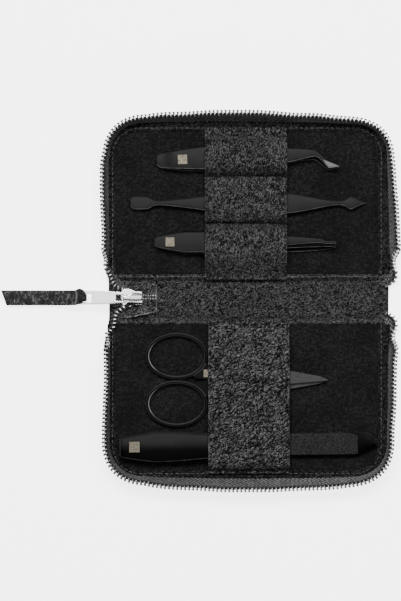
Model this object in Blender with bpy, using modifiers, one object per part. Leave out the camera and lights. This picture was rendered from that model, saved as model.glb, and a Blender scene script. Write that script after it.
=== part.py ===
# Manicure set case, zipped all round and lying open, with its five tools under two leather bands.
# Metres. X runs along the spine, Y across the open case, Z up from the table.
# The origin is the middle of the spine's underside.
import math

import bmesh
import bpy
from mathutils import Matrix, Vector

CASE_NAME = "manicure_set_case"

# Layers of the covers, from the table up
FOLD_OFFSET = 0.010
FOLD_GAP = 0.00015
INNER_SETBACK = 0.0026
LEATHER_THICKNESS = 0.0012
BOARD_THICKNESS = 0.0008
LINING_THICKNESS = 0.0009
LAYER_GAP = 0.0001
FIT_GAP = 0.0003

# Outline of a cover
COVER_CORNER_RADIUS = 0.016
CORNER_STEPS = 7
END_STEPS = 10
SIDE_STEPS = 8

# Wall of a cover: edge binding, zip tape and teeth
BINDING_HEIGHT = 0.0022
BINDING_THICKNESS = 0.0012
TAPE_THICKNESS = 0.0008
TAPE_INSET = 0.0002
WALL_TOP = 0.01095
LOW_WALL_TOP = 0.0060
LOW_WALL_REACH = 0.0195
FULL_WALL_REACH = 0.0262
SIDE_FLARE = 0.0042
END_FLARE = 0.0056
END_BOW = 0.0026

# Zip teeth
TOOTH_PITCH = 0.0025
TOOTH_HEIGHT = 0.0014
TOOTH_DEPTH = 0.0016
TOOTH_WAIST_SHARE = 0.5

# Spine
SPINE_LINING_INSET = 0.0006
SPINE_LINING_THICKNESS = 0.0011
SPINE_CORNER_ROUND = 0.0008

# Leather tab that holds the ends of the zip
TAB_LENGTH = 0.0200
TAB_SIDE_INSET = 0.0004
TAB_THICKNESS = 0.0008
TAB_END_DISTANCE = 0.0235
TAB_OUTLINE_SHARES = (
    (0, -0.50), (0.30, -0.50), (0.55, -0.46), (0.80, -0.40), (1, -0.34),
    (1, 0.40), (0.85, 0.46), (0.45, 0.49), (0, 0.42),
)

# Short rows of teeth on the spine, which run into the slider
ROW_LENGTH = 0.0083
ROW_FOLD_CLEARANCE = 0.0024
ROW_WIDTH = 0.0012
ROW_PITCH = 0.0022
ROW_PATH_SHARES = (
    (0, 1), (0.07, 0.79), (0.20, 0.65), (0.39, 0.54), (0.53, 0.38), (0.67, 0.22), (0.80, 0.165), (1, 0.165),
)

# Zip slider
SLIDER_END_DISTANCE = 0.0063
SLIDER_Y = 0.0007
SLIDER_LENGTH = 0.0101
SLIDER_WIDTH = 0.0088
SLIDER_PLATE = 0.0008
SLIDER_THROAT = 0.0022
SLIDER_LIFT = 0.0003
FLANGE_LENGTH = 0.0034
FLANGE_THICKNESS = 0.0007
POST_LENGTH = 0.0014
POST_WIDTH = 0.0014
SLIDER_OUTLINE_SHARES = (
    (0, 0.30), (0.04, 0.42), (0.14, 0.5), (0.40, 0.5), (0.58, 0.37), (1, 0.36),
)

# Bridge on the slider, which holds the eye of the pull
BRIDGE_LENGTH = 0.0088
BRIDGE_WIDTH = 0.0022
BRIDGE_THICKNESS = 0.0008
BRIDGE_FOOT = 0.0006
BRIDGE_FRONT_SETBACK = 0.0001
BRIDGE_REAR_DROP_SHARE = 0.55

# Metal pull, measured from the axis of its eye bar
PULL_DROOP_DEGREES = 10
EYE_BAR_CLEARANCE = 0.00025
PULL_AXIS_LIFT = 0.0013
PULL_LENGTH = 0.0243
PULL_NECK_WIDTH = 0.0048
PULL_THICKNESS = 0.0012
PULL_BAR = 0.0013
PULL_SIDE_ROUND = 0.0003
EYE_LENGTH = 0.0040
EYE_SIDE_CLEARANCE = 0.0004
SLOT_LENGTH = 0.0058
SLOT_WIDTH = 0.0040
SLOT_BAR = 0.0015
PULL_OUTLINE_SHARES = (
    (0, 0.5), (0.16, 0.5), (0.34, 0.63), (0.52, 0.677), (0.97, 0.677), (1, 0.58),
)

# Leather strap, folded round the slot bar of the pull
STRAP_LENGTH = 0.0392
STRAP_WIDTH = 0.0070
STRAP_THICKNESS = 0.0022
STRAP_LOOP_LENGTH = 0.0050
STRAP_LOOP_WALL = 0.0010
STRAP_LOOP_CLEARANCE = 0.00022
STRAP_NECK_REACH = 0.0006
STRAP_TAPER_REACH = 0.0042
STRAP_REST_HEIGHT = 0.0001
STRAP_DROP_LENGTH = 0.0150
STRAP_END_SLANT = 0.0026
STRAP_STEPS = 14
STRAP_TAPER_STEPS = 6
LOOP_STEPS = 10

# Bands of pebbled leather over the tools
BAND_THICKNESS = 0.0012
UPPER_BAND_LEFT_X = -0.0218
UPPER_BAND_RIGHT_X = 0.0192
LOWER_BAND_LEFT_X = -0.0202
LOWER_BAND_RIGHT_X = 0.0206
BAND_END_INSET = 0.0016
BAND_SIDE_CLEARANCE = 0.0011
RING_SWING_CLEARANCE = 0.0020
BAND_TOP_CLEARANCE = 0.0005
BAND_LEAN = 0.0010
BAND_SHOULDER_SHARE = 0.86
BAND_CROWN_SHARES = ((-0.55, 0.98), (0, 1), (0.55, 0.98))

# All the tools lie a little above the lining, at these distances from the fold, from each other
# and from the walls of the case
TOOL_LIFT = 0.0004
CLIPPER_FOLD_DISTANCE = 0.0101
CLEANER_CLIPPER_DISTANCE = 0.0081
TWEEZERS_CLEANER_DISTANCE = 0.0095
RINGS_FOLD_DISTANCE = 0.00415
FILE_RINGS_DISTANCE = 0.00235
TOOL_END_DISTANCE = 0.00475
TOOL_WALL_DISTANCE = 0.0064
EDGE_SOFTNESS_SHARE = 0.2

# Bare square badges on the tools
BADGE_THICKNESS = 0.0003
BADGE_EDGE_ROUND = 0.0001

# Tweezers: two arms, measured from the heel
TWEEZERS_MIDDLE_X = -0.00025
TWEEZERS_TILT_DEGREES = 2.5
TWEEZERS_LENGTH = 0.0912
TWEEZERS_WIDTH = 0.0120
TWEEZERS_ARM = 0.0013
TWEEZERS_BADGE_X = 0.0129
TWEEZERS_BADGE_SIZE = 0.0048
TWEEZERS_EDGE_SHARES = (
    (0, 0.10, -0.10), (0.012, 0.20, -0.20), (0.040, 0.285, -0.285), (0.088, 0.34, -0.34),
    (0.166, 0.417, -0.417), (0.264, 0.488, -0.488), (0.40, 0.50, -0.50), (0.56, 0.44, -0.44),
    (0.72, 0.283, -0.283), (0.80, 0.22, -0.22), (0.872, 0.154, -0.154), (0.905, 0.075, -0.30),
    (0.930, -0.05, -0.50), (0.945, -0.12, -0.60), (0.967, -0.29, -0.60), (1, -0.53, -0.575),
)
TWEEZERS_RISE_SHARES = (
    (0, 0), (0.04, 0.12), (0.088, 0.85), (0.13, 1), (0.56, 1), (0.80, 0.93), (1, 0.87),
)
TWEEZERS_HEEL_GAP = 0.0003
TWEEZERS_MAIN_GAP = 0.0021

# Nail cleaner: a scoop at the left end, a spear at the right end
CLEANER_MIDDLE_X = -0.0002
CLEANER_LENGTH = 0.1176
CLEANER_WIDTH = 0.0110
CLEANER_HEIGHT = 0.0034
CLEANER_EDGE_SHARES = (
    (0, 0.08), (0.010, 0.20), (0.028, 0.28), (0.052, 0.295), (0.077, 0.21), (0.095, 0.125), (0.112, 0.114),
    (0.17, 0.17), (0.24, 0.29), (0.304, 0.40), (0.42, 0.49), (0.53, 0.50), (0.67, 0.473), (0.75, 0.37),
    (0.785, 0.31), (0.85, 0.18), (0.895, 0.114), (0.910, 0.15), (0.937, 0.295), (0.958, 0.22),
    (0.985, 0.08), (1, 0.02),
)
CLEANER_DEPTH_SHARES = (
    (0, 0.14), (0.028, 0.18), (0.095, 0.34), (0.24, 0.44), (0.42, 0.5), (0.67, 0.5), (0.85, 0.38),
    (0.910, 0.30), (0.958, 0.22), (1, 0.06),
)

# Nail clipper: two leaves and a lever, measured from the heel
CLIPPER_MIDDLE_X = -0.0016
CLIPPER_TILT_DEGREES = -0.3
CLIPPER_LENGTH = 0.0906
CLIPPER_WIDTH = 0.0120
CLIPPER_LEAF = 0.0010
CLIPPER_HEEL_GAP = 0.0003
CLIPPER_JAW_GAP = 0.0019
CLIPPER_LEVER_GAP = 0.00035
CLIPPER_LEVER_REACH = 0.0008
CLIPPER_LEVER_INSET = 0.0006
CLIPPER_PIN_SETBACK = 0.0061
CLIPPER_PIN_RADIUS = 0.0009
CLIPPER_PIN_CLEARANCE = 0.0004
CLIPPER_PIN_HEAD_RADIUS = 0.0017
CLIPPER_PIN_HEAD = 0.0003
CLIPPER_BADGE_X = 0.0077
CLIPPER_BADGE_SIZE = 0.0046
CLIPPER_EDGE_SHARES = (
    (0, 0.12), (0.012, 0.22), (0.032, 0.295), (0.057, 0.32), (0.11, 0.42), (0.179, 0.5), (0.267, 0.488),
    (0.50, 0.44), (0.725, 0.333), (0.85, 0.27), (0.918, 0.242), (0.975, 0.21), (1, 0.20),
)
CLIPPER_RISE_SHARES = (
    (0, 0), (0.057, 0.28), (0.267, 0.45), (0.50, 0.60), (0.725, 0.76), (0.85, 0.90), (0.918, 1), (1, 1),
)

# Scissors, measured from the pivot
SCISSORS_X = 0.00975
SCISSORS_HEIGHT = 0.0030
SCISSORS_SPLIT_GAP = 0.00016
SCISSORS_DISC_RADIUS = 0.0050
SHANK_LENGTH = 0.0330
SHANK_WIDTH = 0.0032
SHANK_GAP = 0.00015
BLADE_REACH = 0.02985
BLADE_WIDTH = 0.0045
RING_WIRE_RADIUS = 0.00085
RING_HALF_LENGTH = 0.0146
RING_HALF_WIDTH = 0.0108
RING_SETBACK = 0.0127
RING_MIDDLE_GAP = 0.00025
RING_STEPS = 30
SCREW_RADIUS = 0.0010
SCREW_CLEARANCE = 0.0003
SCREW_HEAD_RADIUS = 0.0021
SCREW_HEAD = 0.0005
SCISSORS_BADGE_BACK = 0.0303
SCISSORS_BADGE_SIDE = 0.0033
SCISSORS_BADGE_SIZE = 0.0040
SHANK_OUTLINE_SHARES = (
    (0.165, 0), (0.91, 0), (1.10, 0.24), (1.14, 0.60), (1.03, 1.66), (0.965, 2.75), (0.90, 2.30),
    (0.818, 1.42), (0.667, 1.02), (0.165, 0.98),
)
NECK_OUTLINE_SHARES = ((0, 0), (0.29, 0), (0.29, 0.98), (0, 1.30))
BLADE_OUTLINE_SHARES = (
    (0, 0.95), (0.16, 0.80), (0.37, 0.42), (1, 0.06), (1, -0.06), (0.86, -0.42), (0.37, -1), (0, -1.05),
)

# Nail file
FILE_MIDDLE_X = -0.00005
FILE_TILT_DEGREES = 0.9
FILE_HANDLE_LENGTH = 0.0730
FILE_HANDLE_WIDTH = 0.0154
FILE_HANDLE_HEIGHT = 0.0048
FILE_BLADE_LENGTH = 0.0562
FILE_BLADE_WIDTH = 0.0108
FILE_BLADE_THICKNESS = 0.0012
FILE_TANG_LENGTH = 0.0090
FILE_TANG_WIDTH = 0.0060
FILE_BADGE_X = 0.0078
FILE_BADGE_SIZE = 0.0054
FILE_HANDLE_EDGE_SHARES = (
    (0, 0.22), (0.010, 0.30), (0.035, 0.345), (0.10, 0.405), (0.18, 0.46), (0.255, 0.5), (0.34, 0.492),
    (0.45, 0.465), (0.61, 0.412), (0.98, 0.385), (1, 0.36),
)
FILE_HANDLE_DEPTH_SHARES = ((0, 0.26), (0.012, 0.40), (0.04, 0.5), (0.97, 0.5), (1, 0.42))
FILE_BLADE_EDGE_SHARES = (
    (0, 0.5, -0.5), (0.82, 0.5, -0.5), (0.87, 0.45, -0.46), (0.93, 0.30, -0.32), (0.975, 0.14, -0.17),
    (1, 0.02, -0.04),
)

# Places of the tools, worked out from the fold outwards
TRAY_START_Y = FOLD_OFFSET + INNER_SETBACK
CLIPPER_Y = TRAY_START_Y + CLIPPER_FOLD_DISTANCE + CLIPPER_WIDTH / 2
CLEANER_Y = CLIPPER_Y + CLIPPER_WIDTH / 2 + CLEANER_CLIPPER_DISTANCE + CLEANER_WIDTH / 2
TWEEZERS_Y = CLEANER_Y + CLEANER_WIDTH / 2 + TWEEZERS_CLEANER_DISTANCE + TWEEZERS_WIDTH / 2
RING_SIDE = RING_HALF_WIDTH + RING_WIRE_RADIUS + RING_MIDDLE_GAP
RINGS_REACH = RING_SIDE + RING_HALF_WIDTH + RING_WIRE_RADIUS
RING_BACK = SHANK_LENGTH + RING_SETBACK
SCISSORS_Y = -TRAY_START_Y - RINGS_FOLD_DISTANCE - RINGS_REACH
FILE_Y = SCISSORS_Y - RINGS_REACH - FILE_RINGS_DISTANCE - FILE_HANDLE_WIDTH / 2
FILE_LENGTH = FILE_HANDLE_LENGTH + FIT_GAP + FILE_BLADE_LENGTH
TWEEZERS_X = TWEEZERS_MIDDLE_X - TWEEZERS_LENGTH / 2
CLEANER_X = CLEANER_MIDDLE_X - CLEANER_LENGTH / 2
CLIPPER_X = CLIPPER_MIDDLE_X - CLIPPER_LENGTH / 2
FILE_X = FILE_MIDDLE_X - FILE_LENGTH / 2
CLIPPER_PIN_X = CLIPPER_LENGTH - CLIPPER_PIN_SETBACK
CLIPPER_LEVER_WIDTH = CLIPPER_WIDTH - CLIPPER_LEVER_INSET * 2

# The case is as wide and as deep as its tools need
TWEEZERS_TIP_RISE = math.sin(math.radians(TWEEZERS_TILT_DEGREES)) * TWEEZERS_LENGTH
UPPER_TOOLS_REACH = TWEEZERS_Y + TWEEZERS_WIDTH / 2 + TWEEZERS_TIP_RISE
LOWER_TOOLS_REACH = FILE_HANDLE_WIDTH / 2 - FILE_Y
COVER_REACH = max(UPPER_TOOLS_REACH, LOWER_TOOLS_REACH) + TOOL_WALL_DISTANCE
COVER_HALF_WIDTH = max(FILE_LENGTH, CLEANER_LENGTH, CLIPPER_LENGTH, TWEEZERS_LENGTH) / 2 + TOOL_END_DISTANCE
SPINE_HALF_LENGTH = COVER_HALF_WIDTH
TAB_RIGHT_END_X = TAB_END_DISTANCE - SPINE_HALF_LENGTH
SLIDER_FRONT_X = SLIDER_END_DISTANCE - SPINE_HALF_LENGTH
SPINE_LINING_HALF_WIDTH = FOLD_OFFSET - SPINE_LINING_INSET
TAB_WIDTH = (SPINE_LINING_HALF_WIDTH - TAB_SIDE_INSET) * 2

# Sizes of the pieces that fit in one another
BRIDGE_HEIGHT = PULL_AXIS_LIFT + PULL_THICKNESS / 2 + FIT_GAP + BRIDGE_THICKNESS - LAYER_GAP
EYE_WIDTH = BRIDGE_WIDTH + EYE_SIDE_CLEARANCE * 2
STRAP_NECK_WIDTH = SLOT_WIDTH - FIT_GAP * 2
STRAP_LOOP_BORE = math.hypot(SLOT_BAR, PULL_THICKNESS) / 2 + STRAP_LOOP_CLEARANCE
PULL_AXIS_SETBACK = BRIDGE_FRONT_SETBACK + BRIDGE_FOOT + PULL_BAR / 2 + EYE_BAR_CLEARANCE
TWEEZERS_HEIGHT = TWEEZERS_ARM * 2 + TWEEZERS_MAIN_GAP

# Layers worked out from the sizes above
BOARD_Z = LEATHER_THICKNESS + LAYER_GAP
LINING_Z = BOARD_Z + BOARD_THICKNESS + LAYER_GAP
LINING_TOP = LINING_Z + LINING_THICKNESS
BINDING_Z = BOARD_Z
TAPE_Z = BINDING_Z + BINDING_HEIGHT + LAYER_GAP
SPINE_LINING_Z = BOARD_Z
TAB_Z = SPINE_LINING_Z + SPINE_LINING_THICKNESS + LAYER_GAP
SLIDER_Z = TAB_Z + TAB_THICKNESS + SLIDER_LIFT
SLIDER_TOP = SLIDER_Z + SLIDER_PLATE * 2 + SLIDER_THROAT
PULL_AXIS_Z = SLIDER_TOP + PULL_AXIS_LIFT
PULL_AXIS_X = SLIDER_FRONT_X + PULL_AXIS_SETBACK
TOOL_Z = LINING_TOP + TOOL_LIFT
CLIPPER_TOP_LEAF_LOW = CLIPPER_LEAF + CLIPPER_HEEL_GAP
CLIPPER_HEIGHT = CLIPPER_LEAF * 3 + CLIPPER_JAW_GAP + CLIPPER_LEVER_GAP


# Materials
def make_material(name, colour, roughness, metallic=0.0):
    material = bpy.data.materials.new(name)
    material.use_nodes = True
    shader = material.node_tree.nodes["Principled BSDF"]
    shader.inputs["Base Color"].default_value = (*colour, 1.0)
    shader.inputs["Roughness"].default_value = roughness
    shader.inputs["Metallic"].default_value = metallic
    material.diffuse_color = (*colour, 1.0)
    return material


# Objects, empties and their places
def link(item, material=None, parent=None):
    bpy.data.collections[CASE_NAME].objects.link(item)
    if material:
        item.data.materials.append(material)
    if parent:
        item.parent = parent
    return item


def make_empty(name, place, turn_z=0.0, turn_y=0.0):
    empty = link(bpy.data.objects.new(name, None))
    empty.location = place
    empty.rotation_euler = (0.0, math.radians(turn_y), math.radians(turn_z))
    return empty


def object_from_bmesh(name, mesh_builder, material=None, parent=None):
    bmesh.ops.recalc_face_normals(mesh_builder, faces=mesh_builder.faces)
    mesh = bpy.data.meshes.new(name)
    mesh_builder.to_mesh(mesh)
    mesh_builder.free()
    mesh.shade_smooth()
    mesh.set_sharp_from_angle(angle=math.radians(35))
    return link(bpy.data.objects.new(name, mesh), material, parent)


def evaluated_mesh(item):
    bpy.context.view_layer.update()
    graph = bpy.context.evaluated_depsgraph_get()
    return bpy.data.meshes.new_from_object(item.evaluated_get(graph), depsgraph=graph)


def curve_to_mesh(item, weld_distance=1e-6):
    # A curve's caps are loose, so they are welded to its sides here
    mesh = evaluated_mesh(item)
    builder = bmesh.new()
    builder.from_mesh(mesh)
    bmesh.ops.remove_doubles(builder, verts=builder.verts, dist=weld_distance)
    bmesh.ops.recalc_face_normals(builder, faces=builder.faces)
    builder.to_mesh(mesh)
    builder.free()
    name = item.name
    materials = list(item.data.materials)
    solid = bpy.data.objects.new(name, mesh)
    solid.parent = item.parent
    solid.matrix_basis = item.matrix_basis
    bpy.data.objects.remove(item)
    solid.name = name
    bpy.data.collections[CASE_NAME].objects.link(solid)
    if materials and not mesh.materials:
        mesh.materials.append(materials[0])
    return solid


def flat_solid(name, outline, low, thickness, material=None, parent=None, holes=()):
    curve = bpy.data.curves.new(name, "CURVE")
    curve.dimensions = "2D"
    curve.fill_mode = "BOTH"
    curve.extrude = thickness / 2
    for loop in (outline, *holes):
        spline = curve.splines.new("POLY")
        spline.points.add(len(loop) - 1)
        for point, (x, y) in zip(spline.points, loop):
            point.co = (x, y, 0.0, 1.0)
        spline.use_cyclic_u = True
    item = link(bpy.data.objects.new(name, curve), material, parent)
    item.location.z = low + thickness / 2
    return curve_to_mesh(item)


def box_solid(name, size, centre, material=None, parent=None):
    builder = bmesh.new()
    bmesh.ops.create_cube(builder, size=1.0)
    bmesh.ops.scale(builder, vec=size, verts=builder.verts)
    bmesh.ops.translate(builder, vec=centre, verts=builder.verts)
    return object_from_bmesh(name, builder, material, parent)


def disc_solid(name, radius, low, height, material=None, parent=None, centre=(0.0, 0.0), segments=24):
    builder = bmesh.new()
    place = Matrix.Translation((centre[0], centre[1], low + height / 2))
    bmesh.ops.create_cone(
        builder, cap_ends=True, segments=segments, radius1=radius, radius2=radius, depth=height,
        matrix=place,
    )
    return object_from_bmesh(name, builder, material, parent)


def round_edges(item, width, segments=1):
    bevel = item.modifiers.new("soft edges", "BEVEL")
    bevel.width = width
    bevel.segments = segments
    bevel.limit_method = "ANGLE"
    bevel.angle_limit = math.radians(40)
    return item


def combine(target, others, operation):
    # The other solids are used up: they end inside the target or as its holes
    for other in others:
        step = target.modifiers.new(operation.lower(), "BOOLEAN")
        step.operation = operation
        step.object = other
    mesh = evaluated_mesh(target)
    target.modifiers.clear()
    old = target.data
    target.data = mesh
    bpy.data.meshes.remove(old)
    mesh.shade_smooth()
    mesh.set_sharp_from_angle(angle=math.radians(35))
    for other in others:
        bpy.data.objects.remove(other)
    return target


# Lofts: rings of points joined by skins, with flat ends
def loft_solid(name, rings, material=None, parent=None):
    builder = bmesh.new()
    rows = [[builder.verts.new(point) for point in ring] for ring in rings]
    count = len(rows[0])
    for near, far in zip(rows, rows[1:]):
        for i in range(count):
            j = (i + 1) % count
            builder.faces.new((near[i], near[j], far[j], far[i]))
    builder.faces.new(rows[0])
    builder.faces.new(reversed(rows[-1]))
    return object_from_bmesh(name, builder, material, parent)


def bar_ring(x, north, south, low, high):
    # An eight-cornered section with softened long edges
    edge = min(north - south, high - low) * EDGE_SOFTNESS_SHARE
    return (
        (x, north - edge, high), (x, north, high - edge), (x, north, low + edge), (x, north - edge, low),
        (x, south + edge, low), (x, south, low + edge), (x, south, high - edge), (x, south + edge, high),
    )


def read_table(table, at):
    # Straight-line reading between the rows of a table of shares
    for near, far in zip(table, table[1:]):
        if at <= far[0]:
            step = (at - near[0]) / (far[0] - near[0])
            return [a + (b - a) * step for a, b in zip(near[1:], far[1:])]
    return list(table[-1][1:])


def both_edges(row):
    # A row with one edge share is symmetric
    return (row[0], row[1], row[2] if len(row) > 2 else -row[1])


def tool_bar(name, length, width, edges, heights, material, parent, start=0.0):
    # heights(share) gives the low and high face at a share of the length
    stations = sorted({row[0] for row in edges})
    table = [both_edges(row) for row in edges]
    rings = []
    for share in stations:
        north, south = read_table(table, share)
        low, high = heights(share)
        rings.append(bar_ring(start + share * length, north * width, south * width, low, high))
    return loft_solid(name, rings, material, parent)


# Outline of a cover, as points with their outward directions
def cover_outline(inset, start_y):
    half = COVER_HALF_WIDTH - inset
    reach = COVER_REACH - inset
    radius = COVER_CORNER_RADIUS - inset
    side_end = reach - radius
    points = []
    for i in range(SIDE_STEPS):
        points.append((-half, start_y + (side_end - start_y) * i / SIDE_STEPS, -1.0, 0.0))
    for i in range(CORNER_STEPS + 1):
        turn = math.pi / 2 * i / CORNER_STEPS
        away = (-math.cos(turn), math.sin(turn))
        points.append((-half + radius + away[0] * radius, side_end + away[1] * radius, *away))
    for i in range(1, END_STEPS):
        points.append((-half + radius + (half - radius) * 2 * i / END_STEPS, reach, 0.0, 1.0))
    left = points[:SIDE_STEPS + CORNER_STEPS + 1]
    points += [(-x, y, -nx, ny) for x, y, nx, ny in reversed(left)]
    return points


def smooth_step(value, low, high):
    share = min(max((value - low) / (high - low), 0.0), 1.0)
    return share * share * (3 - 2 * share)


def wall_top(y):
    rise = smooth_step(y, LOW_WALL_REACH, FULL_WALL_REACH)
    return LOW_WALL_TOP + (WALL_TOP - LOW_WALL_TOP) * rise


def flare(point, z):
    # The wall leans outward as it rises, most in the middle of the far end
    x, y, nx, ny = point
    bow = END_BOW * (1 - (x / COVER_HALF_WIDTH) ** 2)
    share = z / WALL_TOP
    return (x + SIDE_FLARE * nx * share, y + (END_FLARE + bow) * ny * share, z)


def wall_ribbon(name, side, inset, thickness, low, high_of, material):
    # A strip that follows the outline and leans with the wall, with level edges
    rings = []
    for point in cover_outline(inset, TRAY_START_Y):
        high = high_of(point[1])
        outer = [flare(point, z) for z in (low, (low + high) / 2, high)]
        inner = [(x - point[2] * thickness, y - point[3] * thickness, z) for x, y, z in reversed(outer)]
        rings.append([flip(place, side) for place in outer + inner])
    return loft_solid(name, rings, material)


def flip(point, side):
    return (point[0], point[1] * side, point[2])


def even_points(path, pitch):
    # Points along a path, half a pitch apart
    lengths = [0.0]
    for near, far in zip(path, path[1:]):
        lengths.append(lengths[-1] + (Vector(far[:2]) - Vector(near[:2])).length)
    count = max(int(round(lengths[-1] / pitch)) * 2, 2)
    result = []
    k = 0
    for i in range(count + 1):
        at = lengths[-1] * i / count
        while k < len(path) - 2 and lengths[k + 1] < at:
            k += 1
        share = (at - lengths[k]) / (lengths[k + 1] - lengths[k])
        result.append(tuple(a + (b - a) * share for a, b in zip(path[k], path[k + 1])))
    return result


def teeth_comb(name, path, pitch, depth, height, material):
    # One metal row: every second section is a tooth, the ones between are its waist.
    # A path point is x, y, outward x, outward y and the height of the row's foot.
    rings = []
    for i, (x, y, nx, ny, foot) in enumerate(even_points(path, pitch)):
        share = 1.0 if i % 2 else TOOTH_WAIST_SHARE
        away = Vector((nx, ny, 0.0)).normalized() * depth / 2 * share
        middle = Vector((x, y, foot))
        lift = Vector((0.0, 0.0, height * share))
        rings.append((middle + away, middle + away + lift, middle - away + lift, middle - away))
    return loft_solid(name, rings, material)


# One half of the case
def make_half(label, side, materials):
    start = FOLD_OFFSET + FOLD_GAP
    layers = (
        ("cover_leather", 0.0, start, 0.0, LEATHER_THICKNESS, "leather"),
        ("stiffener_board", BINDING_THICKNESS + FIT_GAP, TRAY_START_Y, BOARD_Z, BOARD_THICKNESS, "board"),
        ("suede_lining", BINDING_THICKNESS + FIT_GAP, TRAY_START_Y, LINING_Z, LINING_THICKNESS, "suede"),
    )
    for part, inset, begin, low, thickness, look in layers:
        outline = [flip(point[:2] + (0.0,), side)[:2] for point in cover_outline(inset, begin)]
        flat_solid(f"{label}_{part}", outline, low, thickness, materials[look])
    wall_ribbon(
        f"{label}_edge_binding", side, 0.0, BINDING_THICKNESS, BINDING_Z,
        lambda y: BINDING_Z + BINDING_HEIGHT, materials["leather"],
    )
    tape_top = TOOTH_HEIGHT + FIT_GAP
    wall_ribbon(
        f"{label}_zip_tape", side, TAPE_INSET, TAPE_THICKNESS, TAPE_Z,
        lambda y: wall_top(y) - tape_top, materials["tape"],
    )
    path = []
    for point in cover_outline(TAPE_INSET + TAPE_THICKNESS / 2, TRAY_START_Y):
        foot = wall_top(point[1]) - TOOTH_HEIGHT
        x, y, z = flip(flare(point, foot), side)
        path.append((x, y, point[2], point[3] * side, z))
    teeth_comb(f"{label}_zip_teeth", path, TOOTH_PITCH, TOOTH_DEPTH, TOOTH_HEIGHT, materials["nickel"])


# The bands over the tools
def band_profile(channels, near, far):
    # From one sewn foot to the other, up over each tool and down again between them
    foot = LINING_TOP + LAYER_GAP
    points = [(near, foot)]
    for centre, half, height in channels:
        rise = height + BAND_TOP_CLEARANCE
        points += [(centre - half - BAND_LEAN, foot), (centre - half, foot + rise * BAND_SHOULDER_SHARE)]
        points += [(centre + half * across, foot + rise * up) for across, up in BAND_CROWN_SHARES]
        points += [(centre + half, foot + rise * BAND_SHOULDER_SHARE), (centre + half + BAND_LEAN, foot)]
    points.append((far, foot))
    return points


def make_band(name, channels, near, far, left, right, material):
    builder = bmesh.new()
    rows = []
    for y, z in band_profile(sorted(channels), near, far):
        rows.append([builder.verts.new((x, y, z)) for x in (left, right)])
    for a, b in zip(rows, rows[1:]):
        builder.faces.new((a[0], a[1], b[1], b[0]))
    mesh = bpy.data.meshes.new(name)
    builder.to_mesh(mesh)
    builder.free()
    item = link(bpy.data.objects.new(name, mesh), material)
    shell = item.modifiers.new("thickness", "SOLIDIFY")
    shell.thickness = BAND_THICKNESS
    shell.offset = 1.0
    shell.use_even_offset = True
    return item


def make_bands(materials):
    inner = TRAY_START_Y
    outer = COVER_REACH - BAND_END_INSET - BINDING_THICKNESS
    middle = (UPPER_BAND_LEFT_X + UPPER_BAND_RIGHT_X) / 2
    rise = math.tan(math.radians(TWEEZERS_TILT_DEGREES)) * (middle - TWEEZERS_X)
    lean = math.tan(math.radians(TWEEZERS_TILT_DEGREES)) * (UPPER_BAND_RIGHT_X - UPPER_BAND_LEFT_X) / 2
    tool_rise = TOOL_LIFT - LAYER_GAP
    pin_rise = LAYER_GAP + CLIPPER_PIN_HEAD
    upper = (
        (CLIPPER_Y, CLIPPER_WIDTH / 2 + BAND_SIDE_CLEARANCE, CLIPPER_HEIGHT + pin_rise + tool_rise),
        (CLEANER_Y, CLEANER_WIDTH / 2 + BAND_SIDE_CLEARANCE, CLEANER_HEIGHT + tool_rise),
        (TWEEZERS_Y + rise, TWEEZERS_WIDTH / 2 + lean + BAND_SIDE_CLEARANCE, TWEEZERS_HEIGHT + tool_rise),
    )
    make_band(
        "upper_tool_band", upper, inner, outer, UPPER_BAND_LEFT_X, UPPER_BAND_RIGHT_X,
        materials["pebbled"],
    )
    ring_top = SCISSORS_Y + RING_SIDE + RING_HALF_WIDTH + RING_SWING_CLEARANCE
    blade_bottom = SCISSORS_Y - RING_SIDE
    file_y = FILE_Y + math.tan(math.radians(FILE_TILT_DEGREES)) * (LOWER_BAND_RIGHT_X - FILE_X) / 2
    screw_top = SCISSORS_HEIGHT + SCREW_HEAD + LAYER_GAP
    lower = (
        (file_y, FILE_HANDLE_WIDTH / 2 + BAND_SIDE_CLEARANCE, FILE_HANDLE_HEIGHT + tool_rise),
        ((ring_top + blade_bottom) / 2, (ring_top - blade_bottom) / 2, screw_top + tool_rise + FIT_GAP),
    )
    make_band(
        "lower_tool_band", lower, -outer, -inner, LOWER_BAND_LEFT_X, LOWER_BAND_RIGHT_X,
        materials["pebbled"],
    )


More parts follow.
